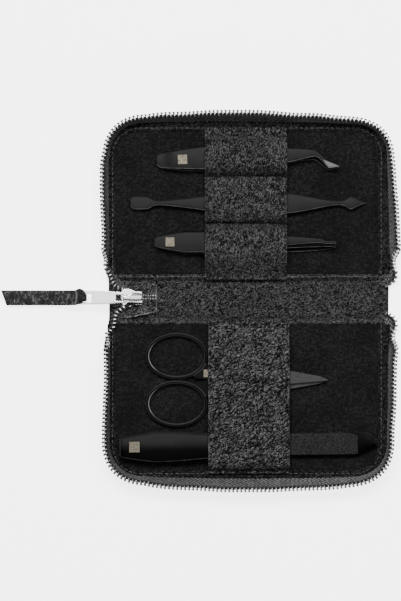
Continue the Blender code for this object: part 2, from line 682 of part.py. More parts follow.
# Spine, its lining and the tab over the ends of the zip
def make_spine(materials):
    width = (FOLD_OFFSET - FOLD_GAP) * 2
    leather = box_solid(
        "spine_leather", (SPINE_HALF_LENGTH * 2, width, LEATHER_THICKNESS),
        (0.0, 0.0, LEATHER_THICKNESS / 2), materials["leather"],
    )
    lining_length = (SPINE_HALF_LENGTH - FIT_GAP) * 2
    lining = box_solid(
        "spine_lining", (lining_length, SPINE_LINING_HALF_WIDTH * 2, SPINE_LINING_THICKNESS),
        (0.0, 0.0, SPINE_LINING_Z + SPINE_LINING_THICKNESS / 2), materials["leather"],
    )
    for item in (leather, lining):
        upright = item.modifiers.new("round corners", "BEVEL")
        upright.width = SPINE_CORNER_ROUND
        upright.limit_method = "WEIGHT"
        weights = item.data.attributes.new("bevel_weight_edge", "FLOAT", "EDGE")
        for edge in item.data.edges:
            ends = [item.data.vertices[v].co for v in edge.vertices]
            is_upright = abs(ends[0].z - ends[1].z) > SPINE_CORNER_ROUND
            weights.data[edge.index].value = 1.0 if is_upright else 0.0
    outline = [(TAB_RIGHT_END_X - TAB_LENGTH * (1 - s), TAB_WIDTH * t) for s, t in TAB_OUTLINE_SHARES]
    flat_solid("zip_end_tab", outline, TAB_Z, TAB_THICKNESS, materials["leather"])
    row_z = SLIDER_Z + SLIDER_PLATE + (SLIDER_THROAT - TOOTH_HEIGHT) / 2
    row_start = SLIDER_FRONT_X + SLIDER_LENGTH / 2 - ROW_LENGTH
    for label, side in (("upper", 1), ("lower", -1)):
        spread = FOLD_OFFSET - ROW_FOLD_CLEARANCE - side * SLIDER_Y
        path = []
        places = [(row_start + ROW_LENGTH * s, SLIDER_Y + side * spread * t) for s, t in ROW_PATH_SHARES]
        for i, (x, y) in enumerate(places):
            back = Vector(places[max(i - 1, 0)])
            ahead = Vector(places[min(i + 1, len(places) - 1)])
            along = (ahead - back).normalized()
            path.append((x, y, along.y, -along.x, row_z))
        teeth_comb(f"{label}_row_end", path, ROW_PITCH, ROW_WIDTH, TOOTH_HEIGHT, materials["nickel"])


# Zip slider with its bridge
def make_slider(materials):
    half = [(SLIDER_FRONT_X + SLIDER_LENGTH * s, SLIDER_WIDTH * t) for s, t in SLIDER_OUTLINE_SHARES]
    outline = [(x, SLIDER_Y + t) for x, t in half] + [(x, SLIDER_Y - t) for x, t in reversed(half)]
    body = flat_solid("slider_body", outline, SLIDER_Z, SLIDER_PLATE, materials["bright"])
    top_plate = flat_solid("top_plate", outline, SLIDER_TOP - SLIDER_PLATE, SLIDER_PLATE)
    height = SLIDER_PLATE + SLIDER_THROAT
    middle = SLIDER_Z + SLIDER_PLATE / 2 + height / 2
    post_x = SLIDER_FRONT_X + FIT_GAP + POST_LENGTH / 2
    joins = [top_plate, box_solid("post", (POST_LENGTH, POST_WIDTH, height), (post_x, SLIDER_Y, middle))]
    rear_half = SLIDER_WIDTH * SLIDER_OUTLINE_SHARES[-1][1]
    flange_x = SLIDER_FRONT_X + SLIDER_LENGTH - FLANGE_LENGTH / 2 - FIT_GAP
    for side in (1, -1):
        flange_y = SLIDER_Y + side * (rear_half - FLANGE_THICKNESS / 2 - FIT_GAP / 2)
        joins.append(
            box_solid("flange", (FLANGE_LENGTH, FLANGE_THICKNESS, height), (flange_x, flange_y, middle))
        )
    combine(body, joins, "UNION")
    left = SLIDER_FRONT_X + BRIDGE_FRONT_SETBACK
    right = left + BRIDGE_LENGTH
    foot = SLIDER_TOP + LAYER_GAP
    top = foot + BRIDGE_HEIGHT
    rear_top = foot + BRIDGE_HEIGHT * BRIDGE_REAR_DROP_SHARE
    side_view = (
        (left, foot), (left, top - BRIDGE_THICKNESS / 2), (left + BRIDGE_THICKNESS / 2, top),
        ((left + right) / 2, top), (right - BRIDGE_FOOT, rear_top), (right, foot),
        (right - BRIDGE_FOOT * 2, foot), (right - BRIDGE_FOOT * 2, rear_top - BRIDGE_THICKNESS),
        ((left + right) / 2, top - BRIDGE_THICKNESS), (left + BRIDGE_FOOT, top - BRIDGE_THICKNESS),
        (left + BRIDGE_FOOT, foot),
    )
    bridge = flat_solid("slider_bridge", side_view, -BRIDGE_WIDTH / 2, BRIDGE_WIDTH, materials["bright"])
    stand_up(bridge, SLIDER_Y)


def stand_up(item, y):
    # Turns a solid drawn flat in X and Y so that its Y becomes Z, centred on y
    item.data.transform(Matrix.Translation(item.location))
    item.data.transform(Matrix.Rotation(math.pi / 2, 4, "X"))
    item.location = (0.0, y, 0.0)


# Metal pull and leather strap, which hang from the bridge
def make_pull(materials):
    axis = make_empty("pull_axis", (PULL_AXIS_X, SLIDER_Y, PULL_AXIS_Z), turn_y=-PULL_DROOP_DEGREES)
    length = PULL_LENGTH + PULL_BAR / 2
    half = [(PULL_BAR / 2 - length * s, PULL_NECK_WIDTH * t) for s, t in PULL_OUTLINE_SHARES]
    outline = half + [(x, -y) for x, y in reversed(half)]
    eye_right = -PULL_BAR / 2
    slot_left = -PULL_LENGTH + SLOT_BAR
    holes = (
        rectangle(eye_right - EYE_LENGTH, eye_right, EYE_WIDTH),
        rectangle(slot_left, slot_left + SLOT_LENGTH, SLOT_WIDTH),
    )
    pull = flat_solid(
        "metal_pull", outline, -PULL_THICKNESS / 2, PULL_THICKNESS, materials["bright"], axis, holes,
    )
    round_edges(pull, PULL_SIDE_ROUND)
    droop = math.radians(PULL_DROOP_DEGREES)
    reach = PULL_LENGTH - SLOT_BAR / 2
    bar_x = PULL_AXIS_X - reach * math.cos(droop)
    bar_z = PULL_AXIS_Z - reach * math.sin(droop)
    make_strap(bar_x, bar_z, materials["pebbled"])


def rectangle(left, right, width):
    return [(left, -width / 2), (right, -width / 2), (right, width / 2), (left, width / 2)]


def make_strap(bar_x, bar_z, material):
    # Side view: a loop round the bar, then both layers together down to the table
    axis = make_empty("strap_axis", (bar_x, SLIDER_Y, bar_z))
    loop_radius = STRAP_LOOP_BORE + STRAP_LOOP_WALL
    rest_z = STRAP_REST_HEIGHT + STRAP_THICKNESS / 2 - bar_z
    upper, lower = [], []
    for i in range(STRAP_STEPS + 1):
        away = STRAP_LOOP_LENGTH + (STRAP_LENGTH - STRAP_LOOP_LENGTH) * i / STRAP_STEPS
        drop = smooth_step(away, 0.0, STRAP_DROP_LENGTH)
        middle = rest_z * drop
        upper.append((-away, middle + STRAP_THICKNESS / 2))
        lower.append((-away, middle - STRAP_THICKNESS / 2))
    arc = []
    for i in range(LOOP_STEPS + 1):
        turn = math.pi * (0.62 - 1.24 * i / LOOP_STEPS)
        arc.append((loop_radius * math.cos(turn), loop_radius * math.sin(turn)))
    outline = arc + lower + upper[::-1]
    bore_steps = LOOP_STEPS + 2
    turns = [math.tau * i / bore_steps for i in range(bore_steps)]
    bore = [(STRAP_LOOP_BORE * math.cos(turn), STRAP_LOOP_BORE * math.sin(turn)) for turn in turns]
    strap = flat_solid("pull_strap", outline, -STRAP_WIDTH / 2, STRAP_WIDTH, material, None, (bore,))
    stand_up(strap, 0.0)
    strap.parent = axis
    cut_across(strap, -STRAP_NECK_REACH, -STRAP_TAPER_REACH, STRAP_TAPER_STEPS)
    end = -STRAP_LENGTH + STRAP_END_SLANT * 2
    for vertex in strap.data.vertices:
        spread = smooth_step(-vertex.co.x, STRAP_NECK_REACH, STRAP_TAPER_REACH)
        width = STRAP_NECK_WIDTH + (STRAP_WIDTH - STRAP_NECK_WIDTH) * spread
        vertex.co.y *= width / STRAP_WIDTH
        if vertex.co.x < end and vertex.co.y < 0:
            vertex.co.x += STRAP_END_SLANT * (end - vertex.co.x) / (STRAP_END_SLANT * 2)


def cut_across(item, start, end, steps):
    # Adds edges across a solid, so that its taper follows a curve
    builder = bmesh.new()
    builder.from_mesh(item.data)
    for i in range(steps + 1):
        place = (start + (end - start) * i / steps, 0.0, 0.0)
        geometry = builder.verts[:] + builder.edges[:] + builder.faces[:]
        bmesh.ops.bisect_plane(builder, geom=geometry, plane_co=place, plane_no=(1.0, 0.0, 0.0))
    builder.to_mesh(item.data)
    builder.free()


def badge(name, size, x, y, low, parent, material):
    middle = low + LAYER_GAP + BADGE_THICKNESS / 2
    plate = box_solid(name, (size, size, BADGE_THICKNESS), (x, y, middle), material, parent)
    return round_edges(plate, BADGE_EDGE_ROUND)


# The tools
def make_tweezers(materials):
    place = make_empty("tweezers_place", (TWEEZERS_X, TWEEZERS_Y, TOOL_Z), TWEEZERS_TILT_DEGREES)

    def upper_arm(share):
        rise = read_table(TWEEZERS_RISE_SHARES, share)[0]
        gap = TWEEZERS_HEEL_GAP + (TWEEZERS_MAIN_GAP - TWEEZERS_HEEL_GAP) * rise
        return TWEEZERS_ARM + gap, TWEEZERS_ARM * 2 + gap

    sizes = (TWEEZERS_LENGTH, TWEEZERS_WIDTH, TWEEZERS_EDGE_SHARES)
    tool_bar("tweezers_lower_arm", *sizes, lambda share: (0.0, TWEEZERS_ARM), materials["steel"], place)
    tool_bar("tweezers_upper_arm", *sizes, upper_arm, materials["steel"], place)
    top = upper_arm(TWEEZERS_BADGE_X / TWEEZERS_LENGTH)[1]
    badge("tweezers_badge", TWEEZERS_BADGE_SIZE, TWEEZERS_BADGE_X, 0.0, top, place, materials["badge"])


def make_cleaner(materials):
    place = make_empty("cleaner_place", (CLEANER_X, CLEANER_Y, TOOL_Z))

    def heights(share):
        depth = read_table(CLEANER_DEPTH_SHARES, share)[0]
        return CLEANER_HEIGHT * (0.5 - depth), CLEANER_HEIGHT * (0.5 + depth)

    sizes = (CLEANER_LENGTH, CLEANER_WIDTH, CLEANER_EDGE_SHARES)
    tool_bar("nail_cleaner", *sizes, heights, materials["steel"], place)


def make_clipper(materials):
    place = make_empty("clipper_place", (CLIPPER_X, CLIPPER_Y, TOOL_Z), CLIPPER_TILT_DEGREES)
    lever_shares = [row for row in CLIPPER_EDGE_SHARES if row[0] < 1]

    def upper_leaf(share):
        rise = (CLIPPER_JAW_GAP - CLIPPER_HEEL_GAP) * read_table(CLIPPER_RISE_SHARES, share)[0]
        return CLIPPER_TOP_LEAF_LOW + rise, CLIPPER_TOP_LEAF_LOW + CLIPPER_LEAF + rise

    def lever(share):
        # The lever stands further off the leaf towards its free end
        low = upper_leaf(share)[1] + CLIPPER_LEVER_GAP + CLIPPER_LEVER_REACH * (1 - share)
        return low, low + CLIPPER_LEAF

    sizes = (CLIPPER_LENGTH, CLIPPER_WIDTH, CLIPPER_EDGE_SHARES)
    lower_leaf = tool_bar(
        "clipper_lower_leaf", *sizes, lambda share: (0.0, CLIPPER_LEAF), materials["steel"], place,
    )
    top_leaf = tool_bar("clipper_upper_leaf", *sizes, upper_leaf, materials["steel"], place)
    handle = tool_bar(
        "clipper_lever", CLIPPER_LENGTH, CLIPPER_LEVER_WIDTH, lever_shares, lever, materials["steel"],
        place,
    )
    pin_share = CLIPPER_PIN_X / CLIPPER_LENGTH
    pin_top = lever(pin_share)[1] + LAYER_GAP
    hole_radius = CLIPPER_PIN_RADIUS + CLIPPER_PIN_CLEARANCE
    for leaf in (lower_leaf, top_leaf, handle):
        drill = disc_solid(
            "drill", hole_radius, -CLIPPER_LEAF, pin_top + CLIPPER_LEAF * 2, None, place,
            (CLIPPER_PIN_X, 0.0), 16,
        )
        combine(leaf, [drill], "DIFFERENCE")
    pin = disc_solid(
        "clipper_pin", CLIPPER_PIN_RADIUS, 0.0, pin_top + CLIPPER_PIN_HEAD / 2, materials["steel"], place,
        (CLIPPER_PIN_X, 0.0), 16,
    )
    head = disc_solid(
        "pin_head", CLIPPER_PIN_HEAD_RADIUS, pin_top, CLIPPER_PIN_HEAD, None, place,
        (CLIPPER_PIN_X, 0.0), 16,
    )
    combine(pin, [head], "UNION")
    top = max(lever(0.0)[1], lever(2 * CLIPPER_BADGE_X / CLIPPER_LENGTH)[1])
    badge("clipper_badge", CLIPPER_BADGE_SIZE, CLIPPER_BADGE_X, 0.0, top, place, materials["badge"])


def scissors_half(name, side, low, high, material, parent):
    # side is 1 for the half whose ring lies towards the spine
    def placed(shares, length, width, gap=0.0, turn=1):
        return [(turn * length * s, side * (gap + width * t)) for s, t in shares]

    layer = high - low
    back = placed(SHANK_OUTLINE_SHARES, SHANK_LENGTH, SHANK_WIDTH, SHANK_GAP, -1)
    half = flat_solid(name, back, 0.0, SCISSORS_HEIGHT, material, parent)
    neck = placed(NECK_OUTLINE_SHARES, SHANK_LENGTH, SHANK_WIDTH, SHANK_GAP, -1)
    blade = placed(BLADE_OUTLINE_SHARES, BLADE_REACH, BLADE_WIDTH)
    joins = [
        flat_solid("neck", neck, low, layer, None, parent),
        disc_solid("disc", SCISSORS_DISC_RADIUS, low, layer, None, parent),
        flat_solid("blade", blade, low, layer, None, parent),
        finger_ring("ring", -RING_BACK, side * RING_SIDE, parent),
    ]
    combine(half, joins, "UNION")
    drill = disc_solid(
        "drill", SCREW_RADIUS + SCREW_CLEARANCE, -SCISSORS_HEIGHT, SCISSORS_HEIGHT * 3, None, parent,
        segments=16,
    )
    return combine(half, [drill], "DIFFERENCE")


def finger_ring(name, x, y, parent):
    curve = bpy.data.curves.new(name, "CURVE")
    curve.dimensions = "3D"
    curve.bevel_depth = RING_WIRE_RADIUS
    curve.bevel_resolution = 2
    spline = curve.splines.new("POLY")
    spline.points.add(RING_STEPS - 1)
    for i, point in enumerate(spline.points):
        turn = math.tau * i / RING_STEPS
        across = x + RING_HALF_LENGTH * math.cos(turn)
        point.co = (across, y + RING_HALF_WIDTH * math.sin(turn), SCISSORS_HEIGHT / 2, 1.0)
    spline.use_cyclic_u = True
    return curve_to_mesh(link(bpy.data.objects.new(name, curve), None, parent))


def make_scissors(materials):
    place = make_empty("scissors_pivot", (SCISSORS_X, SCISSORS_Y, TOOL_Z))
    split = SCISSORS_HEIGHT / 2
    gap = SCISSORS_SPLIT_GAP / 2
    scissors_half("scissors_lower_blade", 1, 0.0, split - gap, materials["steel"], place)
    scissors_half("scissors_upper_blade", -1, split + gap, SCISSORS_HEIGHT, materials["steel"], place)
    head_low = SCISSORS_HEIGHT + LAYER_GAP
    screw_height = head_low + SCREW_HEAD / 2
    screw = disc_solid(
        "pivot_screw", SCREW_RADIUS, 0.0, screw_height, materials["steel"], place, segments=16,
    )
    head = disc_solid("screw_head", SCREW_HEAD_RADIUS, head_low, SCREW_HEAD, None, place)
    combine(screw, [head], "UNION")
    badge(
        "scissors_badge", SCISSORS_BADGE_SIZE, -SCISSORS_BADGE_BACK, SCISSORS_BADGE_SIDE, SCISSORS_HEIGHT,
        place, materials["badge"],
    )


def make_file(materials):
    place = make_empty("file_place", (FILE_X, FILE_Y, TOOL_Z), FILE_TILT_DEGREES)
    middle = FILE_HANDLE_HEIGHT / 2

    def handle_heights(share):
        depth = FILE_HANDLE_HEIGHT * read_table(FILE_HANDLE_DEPTH_SHARES, share)[0]
        return middle - depth, middle + depth

    handle = tool_bar(
        "file_handle", FILE_HANDLE_LENGTH, FILE_HANDLE_WIDTH, FILE_HANDLE_EDGE_SHARES, handle_heights,
        materials["plastic"], place,
    )
    slot_length = FILE_TANG_LENGTH + FIT_GAP
    slot = box_solid(
        "slot", (slot_length * 2, FILE_TANG_WIDTH + FIT_GAP * 2, FILE_BLADE_THICKNESS + FIT_GAP * 2),
        (FILE_HANDLE_LENGTH, 0.0, middle), None, place,
    )
    combine(handle, [slot], "DIFFERENCE")
    low = middle - FILE_BLADE_THICKNESS / 2
    start = FILE_HANDLE_LENGTH + FIT_GAP
    blade = tool_bar(
        "file_blade", FILE_BLADE_LENGTH, FILE_BLADE_WIDTH, FILE_BLADE_EDGE_SHARES,
        lambda share: (low, low + FILE_BLADE_THICKNESS), materials["steel"], place, start,
    )
    tang_centre = (FILE_HANDLE_LENGTH + FIT_GAP * 2 - FILE_TANG_LENGTH / 2, 0.0, middle)
    tang_size = (FILE_TANG_LENGTH, FILE_TANG_WIDTH, FILE_BLADE_THICKNESS)
    combine(blade, [box_solid("tang", tang_size, tang_centre, None, place)], "UNION")
    badge(
        "file_badge", FILE_BADGE_SIZE, FILE_BADGE_X, 0.0, FILE_HANDLE_HEIGHT, place, materials["badge"],
    )


def main():
    for item in list(bpy.data.objects):
        bpy.data.objects.remove(item)
    collection = bpy.data.collections.new(CASE_NAME)
    bpy.context.scene.collection.children.link(collection)
    materials = {
        "leather": make_material("smooth black leather", (0.018, 0.018, 0.019), 0.55),
        "pebbled": make_material("pebbled black leather", (0.020, 0.020, 0.021), 0.45),
        "board": make_material("grey board", (0.25, 0.24, 0.22), 0.9),
        "suede": make_material("black suede", (0.008, 0.008, 0.008), 0.95),
        "tape": make_material("black zip tape", (0.03, 0.03, 0.03), 0.85),
        "nickel": make_material("zip nickel", (0.55, 0.54, 0.52), 0.35, 1.0),
        "bright": make_material("polished nickel", (0.78, 0.78, 0.79), 0.2, 1.0),
        "steel": make_material("matte black steel", (0.025, 0.025, 0.026), 0.5, 0.3),
        "plastic": make_material("black plastic", (0.02, 0.02, 0.02), 0.4),
        "badge": make_material("champagne badge", (0.55, 0.50, 0.40), 0.35, 1.0),
    }
    make_half("upper", 1, materials)
    make_half("lower", -1, materials)
    make_bands(materials)
    make_spine(materials)
    make_slider(materials)
    make_pull(materials)
    make_tweezers(materials)
    make_cleaner(materials)
    make_clipper(materials)
    make_scissors(materials)
    make_file(materials)


main()
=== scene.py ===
import math

import bmesh
import bpy
from mathutils import Matrix, Vector, noise


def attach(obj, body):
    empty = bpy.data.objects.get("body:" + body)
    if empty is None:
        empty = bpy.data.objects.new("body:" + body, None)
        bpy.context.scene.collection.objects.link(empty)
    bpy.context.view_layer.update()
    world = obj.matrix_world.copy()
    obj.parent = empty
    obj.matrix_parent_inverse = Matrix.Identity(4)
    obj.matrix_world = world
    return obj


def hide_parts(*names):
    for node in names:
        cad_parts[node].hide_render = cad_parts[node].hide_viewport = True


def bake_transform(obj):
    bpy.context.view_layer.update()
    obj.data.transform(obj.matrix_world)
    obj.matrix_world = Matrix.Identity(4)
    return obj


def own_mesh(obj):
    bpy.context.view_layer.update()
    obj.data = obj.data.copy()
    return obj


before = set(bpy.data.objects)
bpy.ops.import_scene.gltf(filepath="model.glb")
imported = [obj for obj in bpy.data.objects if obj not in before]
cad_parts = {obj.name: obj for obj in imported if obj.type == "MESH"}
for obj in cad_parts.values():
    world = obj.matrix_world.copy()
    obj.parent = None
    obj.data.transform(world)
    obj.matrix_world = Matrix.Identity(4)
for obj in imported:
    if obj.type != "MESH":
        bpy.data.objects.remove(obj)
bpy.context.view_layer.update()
unit = 0.001
up = Vector((0, 0, 1))
print("frame loaded")


# Looks
class Wire:  # a socket that can stand in a sum
    def __init__(self, look, socket):
        self.look, self.socket = look, socket

    def __add__(self, other):
        return self.look.sum("ADD", self, other)

    def __radd__(self, other):
        return self.look.sum("ADD", other, self)

    def __sub__(self, other):
        return self.look.sum("SUBTRACT", self, other)

    def __rsub__(self, other):
        return self.look.sum("SUBTRACT", other, self)

    def __mul__(self, other):
        return self.look.sum("MULTIPLY", self, other)

    def __rmul__(self, other):
        return self.look.sum("MULTIPLY", other, self)


class Look:  # a material with its nodes
    def __init__(self, name, **fixed):
        self.material = bpy.data.materials.new(name)
        self.material.use_nodes = True
        self.tree = self.material.node_tree
        self.shader = self.tree.nodes["Principled BSDF"]
        for socket, value in fixed.items():
            self.shader.inputs[socket.replace("_", " ")].default_value = value

    def add(self, kind, settings=None, values=None, output=0):
        node = self.tree.nodes.new(kind)
        for key, value in (settings or {}).items():
            setattr(node, key, value)
        for key, value in (values or {}).items():
            self.plug(node.inputs[key], value)
        return Wire(self, node.outputs[output])

    def plug(self, socket, value):
        if isinstance(value, Wire):
            self.tree.links.new(value.socket, socket)
        else:
            socket.default_value = value

    def sum(self, operation, *values):
        return self.add("ShaderNodeMath", {"operation": operation}, dict(enumerate(values)))

    def vector(self, operation, *values):
        return self.add("ShaderNodeVectorMath", {"operation": operation}, dict(enumerate(values)))

    def mix(self, share, first, second):
        return self.add("ShaderNodeMix", {"data_type": "RGBA"}, {0: share, 6: first, 7: second}, 2)

    def place(self):  # millimetres in the piece's own space
        spot = self.add("ShaderNodeTexCoord", output=3)
        return self.vector("MULTIPLY", spot, (1000, 1000, 1000))

    def lay(self):  # along, across and through a piece, in millimetres
        return self.add("ShaderNodeAttribute", {"attribute_name": "lay"}, output=1)

    def part(self, vector, axis):
        return self.add("ShaderNodeSeparateXYZ", values={0: vector}, output="xyz".index(axis))

    def noise(self, place, scale, detail=2.0, rough=0.5, output=0):
        values = {"Vector": place, "Scale": scale, "Detail": detail, "Roughness": rough}
        return self.add("ShaderNodeTexNoise", values=values, output=output)

    def cells(self, place, scale, feature="F1"):
        values = {"Vector": place, "Scale": scale}
        return self.add("ShaderNodeTexVoronoi", {"feature": feature}, values)

    def remap(self, value, low, high, start=0.0, end=1.0, smooth=True):
        settings = {"interpolation_type": "SMOOTHSTEP" if smooth else "LINEAR"}
        values = {"Value": value, "From Min": low, "From Max": high, "To Min": start, "To Max": end}
        return self.add("ShaderNodeMapRange", settings, values)

    def feed(self, **wires):
        for socket, wire in wires.items():
            self.plug(self.shader.inputs[socket.replace("_", " ")], wire)
        return self.material

    def bump(self, height, depth):
        values = {"Height": height, "Distance": depth * unit, "Strength": 1.0}
        return self.add("ShaderNodeBump", values=values)

    def paintedGlint(self, place, scale=0.5, least=0.35):  # patchy painted highlight where the piece's lay asks for it
        patches = self.noise(place, scale, 3, 0.6)
        return self.part(self.lay(), "z") * self.remap(patches, 0.3, 0.6, least, 1.0)


def grey(level):
    return (level, level, level * 1.02, 1)


def leatherLook(name, grain):
    look = Look(name, Specular_IOR_Level=grain["gloss"])
    place = look.place()
    drift = look.vector("SUBTRACT", look.noise(place, 0.10, 2, output=1), (0.5, 0.5, 0.5))
    bent = look.vector("ADD", place, look.vector("MULTIPLY", drift, (grain["drift"],) * 3))
    turned = look.add(
        "ShaderNodeMapping", {"vector_type": "TEXTURE"},
        {"Vector": bent, "Rotation": (0, 0, math.radians(grain["turn"])), "Scale": grain["stretch"]},
    )
    wave = look.noise(turned, grain["scale"], 2, 0.5)
    crease = look.remap(look.sum("ABSOLUTE", wave - 0.5), 0.0, grain["thin"])
    crossed = look.add(
        "ShaderNodeMapping", {"vector_type": "TEXTURE"},
        {"Vector": bent, "Rotation": (0, 0, math.radians(grain["turn"] + 65)), "Scale": (1.3, 0.8, 1.0)},
    )
    crossing = look.noise(crossed, grain["scale"] * 1.3, 1, 0.5)
    pit = look.remap(look.sum("ABSOLUTE", crossing - 0.5), 0.0, grain["thin"] * 0.9)
    broken = look.remap(look.noise(place, 0.35, 2), 0.36, 0.58, 0.3, 1.0)
    tone = (1 - (1 - crease) * broken) * pit
    # painted highlight along the grain's ridges
    tone = tone + look.remap(wave, 0.60, 0.70) * look.remap(crossing, 0.54, 0.62) * grain["ridge"]
    fine = look.noise(look.vector("MULTIPLY", turned, (1.0, 1.1, 1.0)), 1.3, 2, 0.6)
    patches = look.remap(look.noise(place, 0.10, 3, 0.6), 0.3, 0.7, 0.8, 1.15)
    tone = tone * look.remap(fine, 0.38, 0.62, 0.15, 2.0) * patches
    if grain.get("foldShade"):  # painted shade, darker where the piece's lay says a fold lies, and lighter where that value is below zero
        tone = tone * (1 - look.part(look.lay(), "z"))
    colour = look.mix(tone, grey(grain["dark"]), grey(grain["light"]))
    if grain.get("edge"):
        colour = look.mix(look.part(look.lay(), "x") * crease, colour, grey(grain["edge"]))
    height = crease * 0.5 + pit * 0.4 + wave * 0.6 + fine * 0.2
    shine = look.remap(tone, 0.0, 0.9, grain["rough"] + 0.25, grain["rough"])
    return look.feed(Base_Color=colour, Roughness=shine, Normal=look.bump(height, grain["depth"]))


# ridge sets the painted highlight on the grain's ridges
pebbledGrain = {
    "scale": 0.7, "thin": 0.10, "ridge": 1.6, "drift": 4.0, "turn": 60,
    "stretch": (1.6, 0.85, 1.0), "foldShade": True, "depth": 0.6, "dark": 0.0004, "light": 0.068,
    "rough": 0.36, "gloss": 0.07,
}
slantedGrain = dict(
    pebbledGrain, scale=0.62, ridge=4.5, turn=28, stretch=(2.4, 0.85, 1.0), depth=1.0, light=0.090,
)
fineGrain = dict(
    pebbledGrain, scale=0.85, ridge=1.4, turn=15, stretch=(1.5, 0.9, 1.0), depth=0.6, light=0.072, rough=0.42,
    gloss=0.06, foldShade=False,
)
rimGrain = dict(fineGrain, light=0.027, gloss=0.07)
tabGrain = dict(fineGrain, turn=40, stretch=(1.8, 0.8, 1.0), light=0.092, edge=0.22)


def strapLook():  # dark hide whose ridges across the strap take a painted highlight in patches, with a painted highlight along the fold by the bar
    look = Look("cracked black strap leather", Specular_IOR_Level=0.12)
    place = look.place()
    drift = look.vector("SUBTRACT", look.noise(place, 0.5, 2, output=1), (0.5, 0.5, 0.5))
    bent = look.vector("ADD", place, look.vector("MULTIPLY", drift, (2.2, 2.2, 2.2)))
    sized = look.vector("MULTIPLY", bent, (0.62, 0.26, 0.5))
    ridge = look.remap(look.cells(sized, 1.0, "DISTANCE_TO_EDGE"), 0.0, 0.10, 1.0, 0.0)
    small = look.remap(look.cells(bent, 1.05, "DISTANCE_TO_EDGE"), 0.0, 0.16, 1.0, 0.0)
    # patches where the ridges take their painted highlight
    paintedGlint = look.remap(look.noise(place, 0.35, 3, 0.6), 0.42, 0.62)
    grain = look.noise(place, 3.0, 3, 0.6)
    along, across = look.part(look.lay(), "x"), look.part(look.lay(), "y")
    # painted highlight along the fold where the strap rises over the bar
    bend = look.sum("ABSOLUTE", along + 1.0 + (across - 0.8) * (across - 0.8) * 0.05)
    paintedLight = look.remap(bend, 0.1, 0.6, 1.0, 0.0)
    tone = ridge * (paintedGlint * 0.8 + 0.2) + small * 0.22 * paintedGlint + grain * 0.10
    # darker over the loop round the bar, plus the painted highlight at the fold
    tone = tone * look.remap(along, -0.9, -0.1, 1.0, 0.3) + paintedLight * 0.75
    colour = look.mix(tone, grey(0.0022), grey(0.105))
    height = ridge * 0.5 + small * 0.2 + grain * 0.2
    rough = look.remap(ridge, 0.0, 1.0, 0.42, 0.30)
    return look.feed(Base_Color=colour, Roughness=rough, Normal=look.bump(height, 0.35))


def suedeLook():
    look = Look("black suede", Sheen_Weight=0.04, Sheen_Roughness=0.6, Specular_IOR_Level=0.08)
    place = look.place()
    clouds = look.noise(place, 0.06, 4, 0.6)
    brush = look.noise(look.vector("MULTIPLY", place, (0.75, 1.1, 1.0)), 0.6, 4, 0.65)
    nap = look.noise(place, 0.95, 3, 0.7)
    fibre = look.noise(place, 3.5, 3, 0.7)
    specks = look.remap(look.cells(place, 0.45), 0.0, 0.20, 1.0, 0.0) * look.remap(clouds, 0.45, 0.7)
    tone = look.remap(clouds, 0.3, 0.7, 0.45, 1.1) * look.remap(brush, 0.34, 0.68, 0.25, 1.0)
    tone = tone + fibre * 0.10 - 0.05
    tone = tone * look.remap(nap, 0.40, 0.62, 0.2, 1.65)
    colour = look.mix(tone + specks * 0.4, grey(0.0003), grey(0.0115))
    rough = look.remap(fibre, 0.2, 0.8, 0.86, 0.99)
    return look.feed(Base_Color=colour, Roughness=rough, Normal=look.bump(nap + brush, 0.7))


tapeWeave = {"pitch": 2.2, "row": 1.6, "slope": 1.7, "dark": 0.001, "light": 0.125}


def tapeLook():  # slanted threads that turn back at every row
    look = Look("herringbone zip tape", Specular_IOR_Level=0.3, Sheen_Weight=0.1)
    lay = look.lay()
    wander = look.noise(look.place(), 0.35, 2, 0.5)
    along, across = look.part(lay, "x"), look.part(lay, "y") + wander * 0.7
    rows = look.sum("PINGPONG", across, tapeWeave["row"])
    chevron = along + rows * tapeWeave["slope"]
    thread = look.sum("PINGPONG", chevron, tapeWeave["pitch"] / 2) * (2 / tapeWeave["pitch"])
    yarn = look.remap(thread, 0.25, 0.75)
    fuzz = look.noise(look.place(), 1.4, 3, 0.7)
    wear = look.noise(look.place(), 0.25, 3, 0.6)
    tone = (yarn * 0.75 + 0.12) * look.remap(wear, 0.3, 0.7, 0.6, 1.1)
    tone = tone * look.remap(fuzz, 0.35, 0.65, 0.3, 1.2)
    # painted light, darker towards the left end and paler towards the right; the cord is drawn near black
    paintedLight = look.remap(look.part(look.place(), "x"), -62, 62, 0.7, 1.3)
    tone = tone * (1 - look.part(lay, "z") * 0.93) * paintedLight
    colour = look.mix(tone, grey(tapeWeave["dark"]), grey(tapeWeave["light"]))
    rough = look.remap(yarn, 0.0, 1.0, 0.92, 0.72)
    return look.feed(Base_Color=colour, Roughness=rough, Normal=look.bump(yarn + fuzz * 0.4, 0.3))


def teethLook():  # black nickel, darker on a tooth's flanks and outer face, with a painted highlight on its inner face
    look = Look("rubbed zip nickel", Metallic=1.0)
    lay = look.lay()
    across, through = look.part(lay, "x"), look.part(lay, "y")
    sides = look.remap(look.sum("ABSOLUTE", across), 0.6, 0.9, 1.0, 0.25)
    inner = look.remap(through, -0.35, 0.05, 0.05, 1.0)
    spots = look.noise(look.place(), 0.9, 3, 0.6)
    place = look.place()
    # painted shade towards the bottom row; the left end is darker too
    dimLowAndLeft = look.remap(look.part(place, "y"), -84, 70, 0.72, 1.0)
    dimLowAndLeft = dimLowAndLeft * look.remap(look.part(place, "x"), -72, -50, 0.8, 1.0)
    paintedLight = sides * inner * look.remap(spots, 0.35, 0.7, 0.65, 1.0) * dimLowAndLeft
    colour = look.mix(paintedLight, (0.03, 0.03, 0.032, 1), (0.92, 0.92, 0.91, 1))
    rough = look.remap(paintedLight, 0.0, 1.0, 0.5, 0.32)
    return look.feed(Base_Color=colour, Roughness=rough, Normal=look.bump(spots, 0.02))


